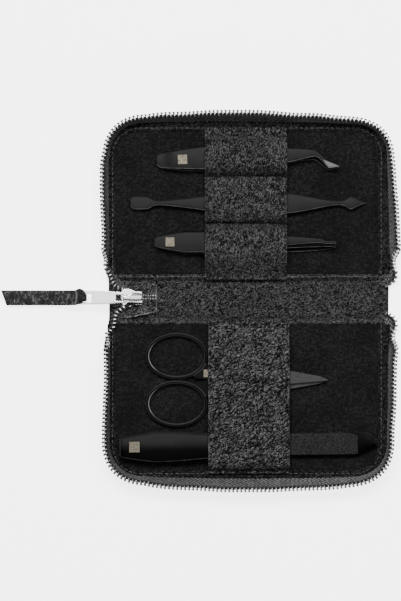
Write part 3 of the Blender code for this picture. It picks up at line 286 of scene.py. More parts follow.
def metalLook(name, shade, rough, streaks, grime=0.0):
    look = Look(name, Metallic=1.0)
    place = look.place()
    brushed = look.noise(look.vector("MULTIPLY", place, streaks), 1.0, 4, 0.6)
    spots = look.noise(place, 0.9, 3, 0.6)
    dirt = look.remap(spots, 0.45, 0.75, 0.0, grime)
    colour = look.mix(dirt, (*shade, 1), (shade[0] * 0.25, shade[1] * 0.24, shade[2] * 0.23, 1))
    roughness = look.remap(brushed, 0.2, 0.8, rough - 0.05, rough + 0.07) + dirt * 0.3
    return look.feed(Base_Color=colour, Roughness=roughness, Normal=look.bump(brushed, 0.004))


def coatedLook(name, dark, light, rough, edge, gloss=0.08):  # with a painted highlight where the piece's lay says so
    look = Look(name, Specular_IOR_Level=gloss)
    place = look.place()
    speckle = look.noise(place, 6.0, 3, 0.6)
    haze = look.noise(place, 0.08, 3, 0.55)
    scuffs = look.noise(look.vector("MULTIPLY", place, (0.12, 2.2, 1.0)), 1.2, 4, 0.7)
    marks = look.remap(scuffs, 0.66, 0.80, 0.0, 0.35)
    tone = look.remap(haze, 0.3, 0.7, 0.2, 0.8) + speckle * 0.2 + marks
    colour = look.mix(tone, grey(dark), grey(light))
    # painted highlight along the south step, in the edge colour
    colour = look.mix(look.paintedGlint(place), colour, grey(edge))
    roughness = look.remap(haze, 0.3, 0.7, rough - 0.04, rough + 0.05) + speckle * 0.05 - marks * 0.1
    return look.feed(Base_Color=colour, Roughness=roughness, Normal=look.bump(speckle, 0.01))


def tweezersLook():  # matte steel with its slanted tip ground pale, the pale partly a painted highlight on the bevel
    look = Look("steel with a ground tip", Specular_IOR_Level=0.08)
    place, lay = look.place(), look.lay()
    along, across = look.part(lay, "x") - 82.65, look.part(lay, "y") + 3.0
    below = look.remap(across + along * 0.449, -0.25, 0.25, 1.0, 0.0)
    beyond = look.remap(along + across * 0.672, -0.2, 0.5)
    ground = below * beyond
    haze = look.remap(look.noise(place, 0.10, 3, 0.6), 0.3, 0.7)
    colour = look.mix(haze, grey(0.003), grey(0.010))
    # painted highlight along the south step
    colour = look.mix(look.paintedGlint(place), colour, grey(0.06))
    # the ground tip, pale, partly a painted highlight
    colour = look.mix(ground, colour, grey(0.11))
    speckle = look.noise(place, 5.0, 3, 0.6)
    rough = look.remap(haze, 0.0, 1.0, 0.44, 0.54) - ground * 0.08
    return look.feed(Base_Color=colour, Roughness=rough, Normal=look.bump(speckle, 0.01))


def handleLook():  # satin plastic with a painted highlight on its upper half, round its left end and along its south step
    look = Look("satin black plastic", Specular_IOR_Level=0.028)
    place, lay = look.place(), look.lay()
    # painted highlight on the upper half
    upper = look.remap(look.part(lay, "y"), -2.2, 2.8)
    haze = look.noise(look.vector("MULTIPLY", place, (0.5, 1.2, 1.0)), 0.12, 3, 0.55)
    scuffs = look.remap(look.noise(look.vector("MULTIPLY", place, (0.12, 2.2, 1.0)), 1.2, 4, 0.7), 0.62, 0.80)
    tone = upper * look.remap(haze, 0.3, 0.7, 0.8, 1.1) + scuffs * 0.08
    colour = look.mix(tone, grey(0.0002), grey(0.0125))
    paintedGlint = look.paintedGlint(place, 0.4, 0.4)
    # painted highlight round the left end
    endHighlight = look.remap(look.sum("ABSOLUTE", look.part(lay, "x") - 0.6), 0.15, 0.5, 0.7, 0.0)
    colour = look.mix(paintedGlint + endHighlight, colour, grey(0.026))
    rough = look.remap(haze, 0.3, 0.7, 0.38, 0.46)
    return look.feed(Base_Color=colour, Roughness=rough, Normal=look.bump(scuffs, 0.006))


def fileLook():
    look = Look("abrasive file steel", Specular_IOR_Level=0.04)
    lay = look.lay()
    along = look.part(lay, "x")
    grit = look.cells(look.place(), 1.9)
    crumbs = look.noise(look.place(), 1.6, 4, 0.75)
    coated = look.remap(along, 119.3, 119.6, 1.0, 0.0, False)
    rough = look.remap(grit, 0.0, 0.6, 1.0, 0.0) * 0.55 + look.remap(crumbs, 0.3, 0.7) * 0.6
    colour = look.mix(rough * coated, grey(0.0002), grey(0.045))
    roughness = coated * 0.45 + 0.35
    return look.feed(Base_Color=colour, Roughness=roughness, Normal=look.bump(rough * coated, 0.25))


def scissorsLook():  # black wire with painted highlights along its rims and on each ring's inner left, the points ground paler
    look = Look("ground black scissor steel", Specular_IOR_Level=0.05)
    place = look.place()
    ahead, aside = scissors["place"][0] - scissors["ringBack"], scissors["place"][1]
    x = look.part(place, "x") - ahead
    y = look.sum("ABSOLUTE", look.part(place, "y") - aside) - scissors["ringSide"]
    spoke = look.add("ShaderNodeCombineXYZ", values={0: x, 1: y})
    reach = look.add("ShaderNodeVectorMath", {"operation": "LENGTH"}, {0: spoke}, 1)
    shares = look.vector("MULTIPLY", spoke, (1 / scissors["ringLong"], 1 / scissors["ringWide"], 0))
    share = look.add("ShaderNodeVectorMath", {"operation": "LENGTH"}, {0: shares}, 1)
    offset = reach * (1 - look.sum("DIVIDE", 1, share))
    off = look.sum("ABSOLUTE", offset)
    # painted highlight along both rims of the ring wire
    rim = look.remap(off, 0.3, 0.62) * look.remap(off, 0.85, 0.95, 1.0, 0.0)
    # painted highlight on each ring's inner left
    shine = look.remap(offset, -0.2, -0.5) * look.remap(x, -9.0, -13.0) * look.remap(y, 9.0, 2.0)
    point = look.remap(look.part(place, "x"), 12.0, 14.0)
    lines = look.noise(look.vector("MULTIPLY", place, (0.5, 3.5, 1.0)), 1.0, 4, 0.7)
    haze = look.noise(place, 0.08, 3, 0.55)
    tone = point * look.remap(lines, 0.3, 0.7, 0.55, 1.0) + haze * 0.08
    colour = look.mix(tone, grey(0.0008), grey(0.045))
    colour = look.mix(rim, colour, grey(0.024))
    colour = look.mix(shine * rim, colour, grey(0.16))
    rough = look.remap(lines, 0.3, 0.7, 0.36, 0.46) + point * 0.12
    return look.feed(Base_Color=colour, Roughness=rough, Normal=look.bump(lines * point, 0.02))


def threadLook(name, light):
    look = Look(name, Specular_IOR_Level=0.2)
    lay = look.lay()
    twist = look.sum("PINGPONG", look.part(lay, "x") + look.part(lay, "y") * 1.6, 0.16) * 6.0
    wear = look.noise(look.place(), 0.7, 2, 0.6)
    tone = look.remap(twist, 0.0, 1.0, 0.45, 1.0) * look.remap(wear, 0.35, 0.65, 0.35, 1.0)
    colour = look.mix(tone, grey(0.006), grey(light))
    return look.feed(Base_Color=colour, Roughness=look.remap(tone, 0.0, 1.0, 0.9, 0.7))


def boardLook():
    look = Look("pressed grey board")
    fibres = look.noise(look.vector("MULTIPLY", look.place(), (0.6, 3.0, 3.0)), 1.4, 5, 0.7)
    colour = look.mix(fibres, (0.16, 0.15, 0.14, 1), (0.34, 0.33, 0.30, 1))
    return look.feed(Base_Color=colour, Roughness=look.remap(fibres, 0.2, 0.8, 0.8, 0.95))


def floorLook():
    look = Look("pale table", Roughness=0.9, Emission_Strength=3.8)
    mottle = look.noise(look.place(), 0.01, 2, 0.5)
    colour = look.mix(mottle, (0.93, 0.93, 0.93, 1), (0.96, 0.96, 0.96, 1))
    return look.feed(Base_Color=colour, Emission_Color=colour)


looks = {
    "pebbled": leatherLook("pebbled black leather", pebbledGrain),
    "slanted": leatherLook("slanted pebble leather", slantedGrain),
    "smooth": leatherLook("fine black leather", fineGrain),
    "rim": leatherLook("matte rim leather", rimGrain),
    "tab": leatherLook("close grained tab leather", tabGrain),
    "strap": strapLook(),
    "suede": suedeLook(),
    "tape": tapeLook(),
    "teeth": teethLook(),
    "polished": metalLook("polished nickel", (0.84, 0.84, 0.85), 0.20, (0.3, 3.5, 1.0), 0.05),
    "steel": coatedLook("matte black steel", 0.003, 0.011, 0.48, edge=0.045),
    "dim": coatedLook("shaded black steel", 0.0008, 0.003, 0.55, edge=0.05, gloss=0.03),
    "tweezers": tweezersLook(),
    "plastic": handleLook(),
    "file": fileLook(),
    "badge": metalLook("champagne plate", (0.142, 0.127, 0.10), 0.42, (2.2, 0.5, 1.0), 0.7),
    "thread": threadLook("grey sewing thread", 0.11),
    "bright": threadLook("pale sewing thread", 0.75),
    "board": boardLook(),
}
print("looks made")


# Mesh helpers
def smoothStep(value, low, high):
    share = min(max((value - low) / (high - low), 0.0), 1.0)
    return share * share * (3 - 2 * share)


def wobble(x, y, z=0.0, size=10.0, seed=0.0):  # soft noise from -1 to 1
    return noise.noise(Vector((x / size + seed, y / size - seed * 0.7, z / size + seed * 0.3)))


def addPiece(name, points, faces, look, lay=None, sharp=50):
    mesh = bpy.data.meshes.new(name)
    mesh.from_pydata([[c * unit for c in point] for point in points], [], faces)
    if lay:
        values = mesh.attributes.new("lay", "FLOAT_VECTOR", "POINT")
        values.data.foreach_set("vector", [c for point in lay for c in point])
    builder = bmesh.new()
    builder.from_mesh(mesh)
    bmesh.ops.recalc_face_normals(builder, faces=builder.faces)
    builder.to_mesh(mesh)
    builder.free()
    mesh.shade_smooth()
    mesh.set_sharp_from_angle(angle=math.radians(sharp))
    mesh.materials.append(looks[look])
    piece = bpy.data.objects.new(name, mesh)
    bpy.context.scene.collection.objects.link(piece)
    return piece


def fasten(piece, body, slot, *nodes):
    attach(piece, body)
    if nodes:
        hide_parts(*nodes)
    return piece


def finalMesh(piece):  # what the modifiers make, as the piece's own mesh
    graph = bpy.context.evaluated_depsgraph_get()
    made = bpy.data.meshes.new_from_object(piece.evaluated_get(graph), depsgraph=graph)
    piece.modifiers.clear()
    piece.data = made
    return piece


def soften(piece, width, segments=2, angle=40):
    bevel = piece.modifiers.new("soft edges", "BEVEL")
    bevel.width, bevel.segments = width * unit, segments
    bevel.limit_method, bevel.angle_limit = "ANGLE", math.radians(angle)
    bevel.harden_normals = False
    return finalMesh(piece)


def evenFaces(piece):  # flat faces keep their own shading up to a rounded edge
    weights = piece.modifiers.new("flat faces", "WEIGHTED_NORMAL")
    weights.keep_sharp = True
    return finalMesh(piece)


class Body:  # points and faces of a piece while it is being made
    def __init__(self):
        self.points, self.faces, self.lay = [], [], []

    def ring(self, points, lay=None):
        start = len(self.points)
        self.points += [Vector(point) for point in points]
        self.lay += [tuple(spot) for spot in (lay or points)]
        return list(range(start, len(self.points)))

    def skin(self, near, far, closed=True):
        count = len(near)
        for i in range(count if closed else count - 1):
            j = (i + 1) % count
            self.faces.append((near[i], near[j], far[j], far[i]))

    def cap(self, ring):
        self.faces.append(tuple(ring))

    def fan(self, ring, tip):
        for i in range(len(ring)):
            self.faces.append((ring[i], ring[(i + 1) % len(ring)], tip))

    def tube(self, rings, lays=None):
        made = [self.ring(ring, lays[i] if lays else None) for i, ring in enumerate(rings)]
        for near, far in zip(made, made[1:]):
            self.skin(near, far)
        self.cap(made[0])
        self.cap(made[-1])

    def piece(self, name, look, sharp=50):
        return addPiece(name, self.points, self.faces, look, self.lay, sharp)


def readTable(table, at):  # smooth reading between the rows of a table
    rows = len(table)
    for k in range(rows - 1):
        if at <= table[k + 1][0] or k == rows - 2:
            break
    before, near, far, after = (table[min(max(k + i, 0), rows - 1)] for i in (-1, 0, 1, 2))
    span = far[0] - near[0]
    share = min(max((at - near[0]) / span, 0.0), 1.0)
    result = []
    for a, b, c, d in zip(before[1:], near[1:], far[1:], after[1:]):
        step = c - b
        enter = 0.0 if (b - a) * step <= 0 else (c - a) / max(far[0] - before[0], 1e-9) * span
        leave = 0.0 if (d - c) * step <= 0 else (d - b) / max(after[0] - near[0], 1e-9) * span
        limit = abs(step) * 3
        enter, leave = (max(-limit, min(limit, slope)) for slope in (enter, leave))
        s2, s3 = share * share, share ** 3
        result.append(
            b * (2 * s3 - 3 * s2 + 1) + enter * (s3 - 2 * s2 + share)
            + c * (3 * s2 - 2 * s3) + leave * (s3 - s2)
        )
    return result


def evenPath(points, pitch):  # points and directions at even steps along a path
    lengths = [0.0]
    for near, far in zip(points, points[1:]):
        lengths.append(lengths[-1] + (far - near).length)
    count = max(int(round(lengths[-1] / pitch)), 2)
    result, k = [], 0
    for i in range(count + 1):
        at = lengths[-1] * i / count
        while k < len(points) - 2 and lengths[k + 1] < at:
            k += 1
        share = (at - lengths[k]) / max(lengths[k + 1] - lengths[k], 1e-9)
        result.append((points[k].lerp(points[k + 1], share), (points[k + 1] - points[k]).normalized(), at))
    return result


def curvePath(points, steps=8):  # a smooth curve through the points
    result = []
    for i in range(len(points) - 1):
        p0, p1, p2, p3 = (points[min(max(i + k, 0), len(points) - 1)] for k in (-1, 0, 1, 2))
        for j in range(steps):
            t = j / steps
            result.append(
                0.5 * (2 * p1 + (p2 - p0) * t + (2 * p0 - 5 * p1 + 4 * p2 - p3) * t * t
                       + (3 * p1 - p0 - 3 * p2 + p3) * t ** 3)
            )
    result.append(points[-1])
    return result


def mirrored(point, side):
    return Vector((point[0], point[1] * side, point[2]))


# The case's outline
case = {
    "halfWidth": 69.5, "reach": 88.0, "corner": 16.0, "trayY": 12.6,
    "wallTop": 10.95, "lowTop": 6.0, "lowY": 19.5, "fullY": 26.2,
    # run along the wall from the middle of its end, left is negative, and how far its top leans out
    "flare": {
        1: (
            (-142, 5.7), (-135, 5.3), (-128, 4.0), (-118, 3.5), (-105, 4.2), (-92, 4.5), (-82, 4.2),
            (-76, 3.0),
            (-66, 3.5), (-54, 3.7), (-44, 5.0), (-30, 5.5), (-20, 6.2), (0, 6.4), (10, 6.0), (22, 4.9),
            (35, 4.5),
            (43, 3.4), (51, 2.7), (60, 2.1), (66, 2.5), (76, 2.6), (84, 3.4), (95, 4.2), (104, 5.2),
            (114, 5.8),
            (124, 6.4), (131, 7.5), (137, 8.7), (144, 8.5),
        ),
        -1: (
            (-142, 3.2), (-135, 3.2), (-128, 2.6), (-112, 2.2), (-100, 2.7), (-84, 3.3), (-76, 3.3),
            (-66, 4.0),
            (-54, 4.4), (-47, 5.8), (-39, 6.8), (-24, 7.5), (-10, 8.4), (10, 8.4), (22, 7.7), (36, 7.2),
            (43, 6.7),
            (51, 5.6), (57, 4.7), (66, 3.9), (76, 2.8), (86, 2.9), (96, 3.8), (112, 4.1), (122, 4.6),
            (130, 6.4),
            (137, 7.5), (144, 7.5),
        ),
    },
}


def coverOutline(inset, startY, step=2.0):
    # points and outward directions, from the left end round to the right end
    half, reach = case["halfWidth"] - inset, case["reach"] - inset
    radius = case["corner"] - inset
    sideEnd = reach - radius
    sideCount = max(int((sideEnd - startY) / step), 2)
    turnCount = max(int(case["corner"] * math.pi / 2 / step), 6)
    endCount = max(int((case["halfWidth"] - case["corner"]) * 2 / step), 2)
    left = [(Vector((-half, startY + (sideEnd - startY) * i / sideCount, 0)), Vector((-1, 0, 0)))
            for i in range(sideCount)]
    for i in range(turnCount + 1):
        turn = math.pi / 2 * i / turnCount
        away = Vector((-math.cos(turn), math.sin(turn), 0))
        left.append((Vector((radius - half, sideEnd, 0)) + away * radius, away))
    middle = [(Vector((radius - half + (half - radius) * 2 * i / endCount, reach, 0)), Vector((0, 1, 0)))
              for i in range(1, endCount)]
    flip = [(Vector((-p.x, p.y, 0)), Vector((-n.x, n.y, 0))) for p, n in reversed(left)]
    return left + middle + flip


def wallTop(y):
    rise = smoothStep(y, case["lowY"], case["fullY"])
    return case["lowTop"] + (case["wallTop"] - case["lowTop"]) * rise


def wallRun(point):
    straight, reach = case["halfWidth"] - case["corner"], case["reach"] - case["corner"]
    across, along = abs(point.x) - straight, abs(point.y) - reach
    if along <= 0:
        run = straight + case["corner"] * math.pi / 2 - along
    elif across <= 0:
        run = abs(point.x)
    else:
        run = straight + case["corner"] * math.atan2(across, along)
    return math.copysign(run, point.x)


def lean(point, away, z, side):  # where the leaning wall stands at height z
    out = readTable(case["flare"][side], wallRun(point))[0] * z / case["wallTop"]
    return Vector((point.x + out * away.x, point.y + out * away.y, z))


def coverGrid(body, outline, side, height):
    # faces over a cover whose edge has the outline's points, with that edge and the first row
    turn = next(i for i, (point, away) in enumerate(outline) if away.y > 0.999)
    columns = len(outline) - 2 * turn - 1
    rows = []
    for i in range(turn + 1):
        left, right = outline[i][0], outline[-1 - i][0]
        places = [(left.x + (right.x - left.x) * j / columns, left.y) for j in range(columns + 1)]
        rows.append(body.ring([mirrored((x, y, height(x, y)), side) for x, y in places]))
    for near, far in zip(rows, rows[1:]):
        body.skin(near, far, False)
    return [row[0] for row in rows] + rows[-1][1:-1] + [row[-1] for row in reversed(rows)], rows[0]


# Outer leather and its turned-up rim
shell = {
    "thick": 1.2, "rimTop": 3.4, "flatTop": 1.25, "seamY": 9.0, "innerInset": 1.35, "outerInset": 0.9,
    "step": 2.5,
}


def rimHeight(y):  # the rim sinks to the leather's own edge on the spine
    return shell["flatTop"] + (shell["rimTop"] - shell["flatTop"]) * smoothStep(y, shell["seamY"], 13.5)


def makeShell(label, side):
    body = Body()
    step = shell["step"]
    insets = (
        (1.35, 0.0), (1.3, 0.5), (1.25, 1.0), (0.9, 1.10), (0.35, 1.08), (0.0, 0.92), (-0.05, 0.6),
        (-0.02, 0.25), (0.18, 0.06), (0.55, 0.0),
    )

    def loop(inset, share, low=0.0):
        places = []
        for point, away in coverOutline(inset, 0.0, step):
            top = rimHeight(point.y)
            z = low + (top - low) * share
            places.append(mirrored(lean(point, away, z, side), side))
        return places

    outline = coverOutline(shell["innerInset"], 0.0, step)
    innerLoop, innerRow = coverGrid(body, outline, side, lambda x, y: shell["thick"])
    outline = coverOutline(shell["outerInset"], 0.0, step)
    outerLoop, outerRow = coverGrid(body, outline, side, lambda x, y: 0.0)
    rings = [innerLoop]
    for inset, share in insets:
        rings.append(body.ring(loop(inset, share, shell["thick"] if inset > 1.2 else 0.0)))
    rings.append(outerLoop)
    for near, far in zip(rings, rings[1:]):
        body.skin(near, far, False)
    ends = [ring[0] for ring in rings[1:-1]]
    starts = [ring[-1] for ring in rings[1:-1]]
    body.cap(innerRow + starts + outerRow[::-1] + ends[::-1])
    piece = body.piece(f"{label}_outer_leather", "smooth")
    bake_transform(piece)
    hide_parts(f"{label}_cover_leather", "spine_leather")
    return piece


# Suede linings
lining = {"low": 2.2, "top": 3.08, "inset": 1.7, "wave": 0.14, "step": 2.0}


def makeLining(label, side):
    body = Body()
    outline = coverOutline(lining["inset"], case["trayY"], lining["step"])

    def nap(x, y):
        swell = wobble(x, y, 0, 21, 3.1) * 0.6 + wobble(x, y, 0, 7, 1.7) * 0.4
        return lining["top"] - lining["wave"] * (0.6 + swell)

    edges = []
    for height in (nap, lambda x, y: lining["low"]):
        edge, firstRow = coverGrid(body, outline, side, height)
        edges.append(edge + firstRow[1:-1][::-1])
    body.skin(*edges)
    return fasten(body.piece(f"{label}_suede", "suede"), f"{label}_half", "suede", f"{label}_suede_lining")


# Leather facing round each half, with its stitches
facing = {
    "inner": 3.75, "low": 3.12, "top": 3.62, "stitchInset": 2.25,
    "shift": {1: (-0.75, 0.0), -1: (-0.75, 1.5)},
}
seam = {"pitch": 2.6, "length": 1.75, "thick": 0.21, "lift": 0.10, "bow": 0.3}


def moved(point, side, share=1.0):  # the seam isn't in the middle of the case
    x, y = facing["shift"][side]
    return Vector((point.x + x * share, point.y + y * share * smoothStep(point.y, 60, 84), point.z))


def makeFacing(label, side):
    body = Body()
    profile = (
        (facing["inner"], facing["low"] + 0.06), (facing["inner"] - 0.12, facing["top"] - 0.16),
        (facing["inner"] - 0.45, facing["top"] - 0.04), (facing["stitchInset"] + 0.45, facing["top"]),
        (facing["stitchInset"], facing["top"] - 0.10), (facing["stitchInset"] - 0.45, facing["top"] + 0.02),
        (0.9, facing["top"] + 0.14), (0.2, facing["top"] + 0.22), (-0.05, facing["top"] + 0.05),
        (0.0, facing["top"] - 0.18), (0.5, facing["low"] + 0.1), (1.4, facing["low"]),
    )
    inner = [coverOutline(inset, case["trayY"] - 0.1, 1.5) for inset, z in profile]
    rings = []
    for i in range(len(inner[0])):
        ring = []
        for line, (inset, z) in zip(inner, profile):
            point, away = line[min(i, len(line) - 1)]
            ripple = wobble(point.x, point.y, 0, 4.0, 5.0) * 0.06
            shifted = moved(point + up * z, side, smoothStep(inset, 0.5, 2.0))
            place = lean(point, away, z, side) if inset < 1.0 else shifted
            ring.append(mirrored(place + up * (ripple if inset < facing["inner"] - 0.2 else 0), side))
        rings.append(ring)
    body.tube(rings)
    piece = body.piece(f"{label}_rim_facing", "rim")
    return fasten(piece, f"{label}_half", "smooth_leather", f"{label}_edge_binding")


def addStitch(body, middle, along, normal, length, thick):
    # one thread between two holes: a bowed bead with its ends sunk into the leather
    across = normal.cross(along).normalized()
    rings, lays = [], []
    steps, sides = 5, 6
    for i in range(steps + 1):
        t = i / steps * 2 - 1
        lift = (1 - t * t) * seam["bow"] * thick - thick * 0.35
        size = thick * math.sqrt(max(1 - (t * 0.93) ** 2, 0.06))
        turns = [math.tau * k / sides for k in range(sides)]
        rings.append([
            middle + along * (t * length / 2) + normal * (lift + math.sin(turn) * size)
            + across * math.cos(turn) * size for turn in turns
        ])
        lays.append([(t * length / 2, turn * thick, 0) for turn in turns])
    body.tube(rings, lays)


def makeFacingStitches(label, side):
    body = Body()
    line = [point for point, away in coverOutline(facing["stitchInset"], case["trayY"] + 1.0, 1.0)]
    for place, along, run in evenPath(line, seam["pitch"]):
        place = mirrored(moved(place + up * (facing["top"] - 0.02 + seam["lift"]), side), side)
        turnAway = wobble(place.x, place.y, 0, 3.0, 9.0) * 0.10
        direction = (mirrored(along, side) + Vector((turnAway, -turnAway, 0))).normalized()
        addStitch(body, place, direction, up, seam["length"], seam["thick"])
    return fasten(body.piece(f"{label}_rim_stitches", "thread"), f"{label}_half", "smooth_leather")


# Zip: the line of its teeth, the tape under it and each tooth
zipLine = {
    "leftTeeth": {  # x, distance from the middle, height: from the slider out to the wall
        1: (
            (-53.4, 2.6, 5.4), (-56.4, 2.8, 5.5), (-58.4, 3.2, 5.6), (-60.4, 4.0, 5.6), (-62.2, 4.7, 5.6),
            (-64.2, 5.3, 5.6), (-66.0, 6.0, 5.5), (-67.4, 7.5, 5.3),
            (-68.1, 9.3, 5.1), (-69.0, 11.2, 4.9), (-69.6, 13.1, 4.8), (-70.3, 15.0, 4.7),
        ),
        -1: (
            (-53.4, 0.9, 5.4), (-56.4, 1.0, 5.5), (-58.2, 1.3, 5.6), (-60.2, 2.1, 5.6), (-62.3, 3.7, 5.6),
            (-64.3, 5.3, 5.5), (-66.0, 6.7, 5.3), (-66.8, 8.5, 5.1),
            (-67.2, 10.6, 4.9), (-67.5, 12.5, 4.8), (-68.0, 14.6, 4.7),
        ),
    },
    "rightTeeth": (
        (72.9, 14.0, 4.6), (73.0, 11.8, 4.4), (72.2, 9.8, 4.0), (70.4, 8.4, 3.4), (68.6, 7.8, 2.9),
    ),
    "leftTape": {  # the tape's inner edge along the same stretch
        1: (
            (-53.4, 3.5, 4.85), (-56.4, 3.7, 4.85), (-58.2, 4.6, 4.8), (-60.0, 5.4, 4.6), (-61.6, 6.8, 3.7),
            (-63.2, 8.8, 3.0), (-64.6, 9.9, 3.1), (-65.8, 10.8, 3.2), (-66.6, 12.0, 3.2),
            (-67.3, 13.6, 3.2),
            (-67.8, 14.6, 3.15), (-67.9, 15.6, 3.1),
        ),
        -1: (
            (-53.4, 2.15, 4.85), (-56.4, 2.35, 4.85), (-58.2, 2.9, 4.8), (-60.0, 3.5, 4.7),
            (-61.8, 5.4, 4.0),
            (-63.2, 8.4, 3.1), (-64.6, 9.9, 3.1), (-65.8, 10.8, 3.2), (-66.6, 12.0, 3.2),
            (-67.3, 13.6, 3.2),
            (-67.9, 15.6, 3.1),
        ),
    },
    "rightTape": (
        (68.6, 14.0, 3.1), (68.3, 12.0, 3.1), (67.9, 10.2, 2.8), (67.2, 9.2, 2.7), (66.4, 8.8, 2.6),
    ),
    "wallStart": 17.0, "tapeInset": 0.9, "tapeLow": 3.0, "footInset": 0.6, "footDrop": 1.66,
}


def zipFrames(side):
    # pairs of points: the foot of the teeth and the tape's inner edge
    teeth = [Vector(p) for p in zipLine["leftTeeth"][side]]
    tape = [Vector(p) for p in zipLine["leftTape"][side]]
    for row, inset in ((teeth, zipLine["footInset"]), (tape, zipLine["tapeInset"])):
        for point, away in coverOutline(inset, zipLine["wallStart"], 2.0):
            if point.x > 0 and point.y < 15.5:
                continue
            z = wallTop(point.y) - zipLine["footDrop"] if row is teeth else zipLine["tapeLow"]
            row.append(lean(point, away, z, side))
    teeth += [Vector(p) for p in zipLine["rightTeeth"]]
    tape += [Vector(p) for p in zipLine["rightTape"]]
    return [[mirrored(point, side) for point in curvePath(row, 4)] for row in (teeth, tape)]


cord = {"radius": 0.72, "rise": 0.1, "inward": 0.35, "arc": (-75, -40, -5, 30, 65, 100, 135, 170, 205)}


def makeTape(label, side):
    teeth, tape = zipFrames(side)
    body = Body()
    rings, lays, run = [], [], 0.0
    across = 7
    for i, (high, low) in enumerate(zip(teeth, tape)):
        if i:
            run += (high - teeth[i - 1]).length
        ahead = teeth[min(i + 1, len(teeth) - 1)] - teeth[max(i - 1, 0)]
        width = high - low
        rise = width.normalized()
        normal = ahead.cross(width).normalized()
        if normal.z < 0:
            normal = -normal
        top, bottom, spots = [], [], []
        for j in range(across + 1):
            t = 0.82 * j / across
            sag = normal * (-0.35 * math.sin(math.pi * t) + 0.05 * wobble(high.x, high.y, t * 5, 3.0, 2.0))
            top.append(low.lerp(high, t) + sag + normal * 0.28)
            bottom.append(low.lerp(high, t) + sag - normal * 0.28)
            spots.append((run, t * width.length, 0))
        middle = high + rise * cord["rise"] + normal * cord["inward"]
        arc = [math.radians(turn) for turn in cord["arc"]]
        bead = [middle + (normal * math.cos(turn) + rise * math.sin(turn)) * cord["radius"] for turn in arc]
        rings.append(top + bead + bottom[::-1])
        lays.append(spots + [(run, width.length, 1)] * len(bead) + spots[::-1])
    body.tube(rings, lays)
    piece = body.piece(f"{label}_woven_tape", "tape")
    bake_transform(piece)
    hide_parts(f"{label}_zip_tape")
    return piece


tooth = {
    "pitch": 2.0, "width": 1.3, "depth": 2.5, "skew": 0.26, "lift": 0.15, "upright": 0.75,
    "hiddenFrom": -62.4, "farEnd": 60.0, "hiddenReach": 6.0, "dullReach": 14.5,
}
toothProfile = (  # height along the tooth, then its width and depth there as shares
    (-0.90, 0.75, 0.70), (-0.72, 0.95, 0.95), (-0.1, 1.0, 1.0), (0.35, 0.92, 1.0), (0.80, 1.0, 1.0),
    (1.20, 0.95, 0.98),
    (1.45, 0.78, 0.88), (1.58, 0.45, 0.60),
)


toothPlan = (
    (0.9, -0.4), (0.55, 0.4), (0.4, 1), (-0.4, 1), (-0.55, 0.4), (-0.9, -0.4), (-0.85, -1), (0.85, -1),
)


def addTooth(body, foot, along, away, inner, slant, bright):
    # a blunt bar over the cord, its inner end narrower and set forward along the row
    width, depth = tooth["width"] / 2, tooth["depth"] / 2
    rings, lays = [], []
    for height, wide, deep in toothProfile:
        ring, spots = [], []
        for a, b in toothPlan:
            forward = slant * tooth["skew"] * (b * deep * depth + 0.25 * height)
            spot = foot + away * height + along * (a * wide * width + forward)
            ring.append(spot + inner * b * deep * depth)
            spots.append((a, b * deep if bright else -1.0, height))
        rings.append(ring)
        lays.append(spots)
    body.tube(rings, lays)


def makeTeeth(label, side):
    teeth, tape = zipFrames(side)
    body = Body()
    lengths, k = [0.0], 0
    for near, far in zip(teeth, teeth[1:]):
        lengths.append(lengths[-1] + (far - near).length)
    for place, along, run in evenPath(teeth, tooth["pitch"]):
        while k < len(teeth) - 2 and lengths[k + 1] < run:
            k += 1
        low = tape[k].lerp(tape[k + 1], (run - lengths[k]) / max(lengths[k + 1] - lengths[k], 1e-9))
        away = (place - low).normalized()
        near = tooth["upright"] * (1 - smoothStep(abs(place.y), 12.0, 18.0)) if place.x < 0 else 0
        away = away.lerp(up, near)
        away = (away - along * away.dot(along)).normalized()
        inner = along.cross(away).normalized() * side
        if tooth["hiddenFrom"] < place.x < tooth["farEnd"] and abs(place.y) < tooth["hiddenReach"]:
            continue  # inside the slider
        bright = place.x < tooth["farEnd"] or abs(place.y) > tooth["dullReach"]
        addTooth(body, place + away * tooth["lift"], along, away, inner, side, bright)
    piece = body.piece(f"{label}_nickel_teeth", "teeth", 60)
    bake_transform(piece)
    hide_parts(f"{label}_zip_teeth", f"{label}_row_end")
    return piece


for label, side in (("upper", 1), ("lower", -1)):
    makeShell(label, side)
    makeLining(label, side)
    makeFacing(label, side)
    makeFacingStitches(label, side)
    makeTape(label, side)
    makeTeeth(label, side)
    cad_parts[f"{label}_stiffener_board"].material_slots[0].material = looks["board"]
print("case and zip made")


# Leather strip inside the spine, over both folds
strip = {
    "halfLength": 69.1, "seamY": 11.3, "stitchEnd": 66.5, "step": 1.5, "low": 1.35,
    "riseStart": 9.2, "riseEnd": 11.0,
}


def stripTop(y):  # low in the middle, a crease at the fold, then up over the lining's edge
    crease = 0.55 * math.exp(-((y - 9.3) / 0.55) ** 2)
    return 2.42 - crease + 1.15 * smoothStep(y, 9.4, 11.0) - 0.5 * smoothStep(y, 12.0, 12.6)


